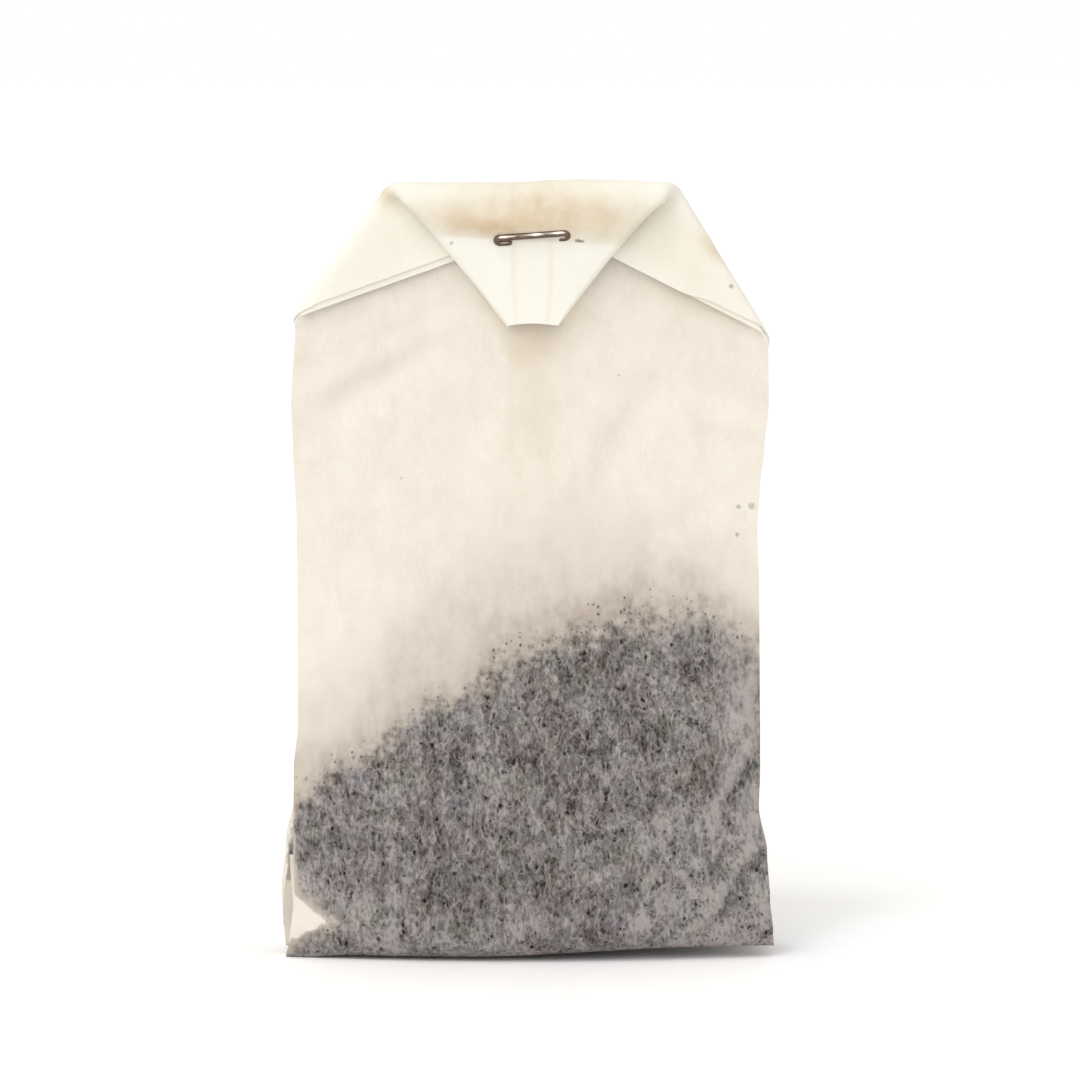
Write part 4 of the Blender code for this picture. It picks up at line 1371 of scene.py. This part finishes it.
def half_staple(loop_return):
    """Centre line of the wire's right half: x across, y from front to back, and z."""
    front = HEAD_AXIS_Y - HEAD_RADIUS - flap_rise(0.0, STAPLE_HEIGHT) - STAND_OFF + CROWN_SINK
    back = HALF_STACK + STAND_OFF
    turn = (CROWN_WIDTH - WIRE_DIAMETER) / 2 - LOOP_RADIUS
    leg = turn - loop_return - BEND_RADIUS
    under = front + LOOP_DEPTH
    flat = [Vector((leg - CLINCH_LENGTH, back)), Vector((leg - BEND_RADIUS, back))]
    flat += arc_points((leg - BEND_RADIUS, back - BEND_RADIUS), (BEND_RADIUS,) * 2, math.pi / 2, 0.0, 6)
    flat += straight_points(flat[-1], Vector((leg, under + BEND_RADIUS)), 6)
    flat += arc_points((leg + BEND_RADIUS, under + BEND_RADIUS), (BEND_RADIUS,) * 2,
                       math.pi, 1.5 * math.pi, 6)
    flat += straight_points(flat[-1], Vector((turn, under)), 4)
    right = [Vector((point.x, point.y, -LOOP_DROP)) for point in flat]
    for angle in steps(0.0, math.pi, math.pi / 10)[1:]:
        share = (1 + math.cos(angle)) / 2
        right.append(Vector((turn + LOOP_RADIUS * math.sin(angle), front + LOOP_DEPTH * share,
                             -LOOP_DROP * share)))
    return right + [Vector((x, front, 0.0)) for x in steps(turn, 0.0, turn / 8)[1:]]


left_half = [Vector((-point.x, point.y, point.z)) for point in half_staple(LEFT_RETURN)]
wire_points = half_staple(RIGHT_RETURN) + left_half[-2::-1]
print("wire of the staple has", len(wire_points), "points")

# %% [markdown]
# The curve becomes a mesh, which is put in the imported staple's place, tilted and turned a
# little as a hand staples it.

# %% Staple
wire_curve = bpy.data.curves.new("staple_wire_line", "CURVE")
wire_curve.dimensions = "3D"
wire_curve.bevel_depth = WIRE_DIAMETER / 2
wire_curve.bevel_resolution = 6
wire_curve.use_fill_caps = True
spline = wire_curve.splines.new("POLY")
spline.points.add(len(wire_points) - 1)
for point, where in zip(spline.points, wire_points):
    point.co = (*where, 1.0)
wire_line = bpy.data.objects.new("staple_wire_line", wire_curve)
bpy.context.scene.collection.objects.link(wire_line)
staple = bpy.data.objects.new("clinched_staple", evaluated_mesh(wire_line))
bpy.data.objects.remove(wire_line)
bpy.context.scene.collection.objects.link(staple)
staple.location = (STAPLE_X, 0.0, STAPLE_HEIGHT)
staple.rotation_euler = (0.0, STAPLE_TILT, STAPLE_TURN)
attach(staple, "root")
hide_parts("staple")
print("faces of the staple:", len(staple.data.polygons))

# %% [markdown]
# The wire is tinned steel, drawn bright through a die, which leaves fine lines along it. A
# strip along the front of the crown, facing a little up towards the lamps, is painted nearly
# white as a highlight, and the rest is dark brown, a tarnish that also stands as painted dark
# reflection at the wire's sides and on its loops. The painted highlight comes from which way
# the surface faces on the staple itself, not from where it is seen.

# %% Wire material
DRAWN_MM = 0.25
HIGHLIGHT_BREAKUP_MM = 1.8
# The way the painted highlight faces: to the front and a little up
HIGHLIGHT_SIDE = (0.0, -0.97, 0.24)
# Brown tarnish, which also stands as painted dark reflection at the wire's sides
TARNISH_AND_SHADE_DARK = "4A3B31"
TARNISH_AND_SHADE_LIGHT = "86776B"
# Nearly white, a painted highlight
PAINTED_HIGHLIGHT = "F1E7D9"
WIRE_ROUGHNESS = 0.28

wire_material, tree = empty_material("tinned_steel_wire")
wire_place = node("TexCoord").outputs["Object"]
drawn = node("TexNoise", wire_place, scale_of(DRAWN_MM), 3.0)
tarnish_and_shade = node("Mix", drawn, colour(TARNISH_AND_SHADE_DARK), colour(TARNISH_AND_SHADE_LIGHT), **TONE)
normal = node("NewGeometry").outputs["Normal"]
facing = node("VectorMath", normal, HIGHLIGHT_SIDE, operation="DOT_PRODUCT")
highlight_breakup = node("TexNoise", wire_place, scale_of(HIGHLIGHT_BREAKUP_MM))
# A strip of painted highlight where the wire faces front and a little up, broken by noise
painted_highlight = node("Math", highlight_breakup, 0.5, facing, operation="MULTIPLY_ADD")
painted_highlight = node("MapRange", painted_highlight, 1.15, 1.31, **SMOOTH)
# The loops get a third of the painted highlight, the crown all of it
height = node("SeparateXYZ", wire_place).outputs["Z"]
crown = node("MapRange", height, -0.34 * MM, -0.12 * MM, 0.35, **SMOOTH)
painted_highlight = node("Math", painted_highlight, crown, **TIMES)
wire_tone = node("Mix", painted_highlight, tarnish_and_shade, colour(PAINTED_HIGHLIGHT), **TONE)
wire_shader = node("BsdfPrincipled", {
    "Base Color": wire_tone, "Metallic": 1.0, "Roughness": WIRE_ROUGHNESS})
node("OutputMaterial", wire_shader)
staple.data.materials.append(wire_material)
print("wire material:", len(tree.nodes), "nodes")
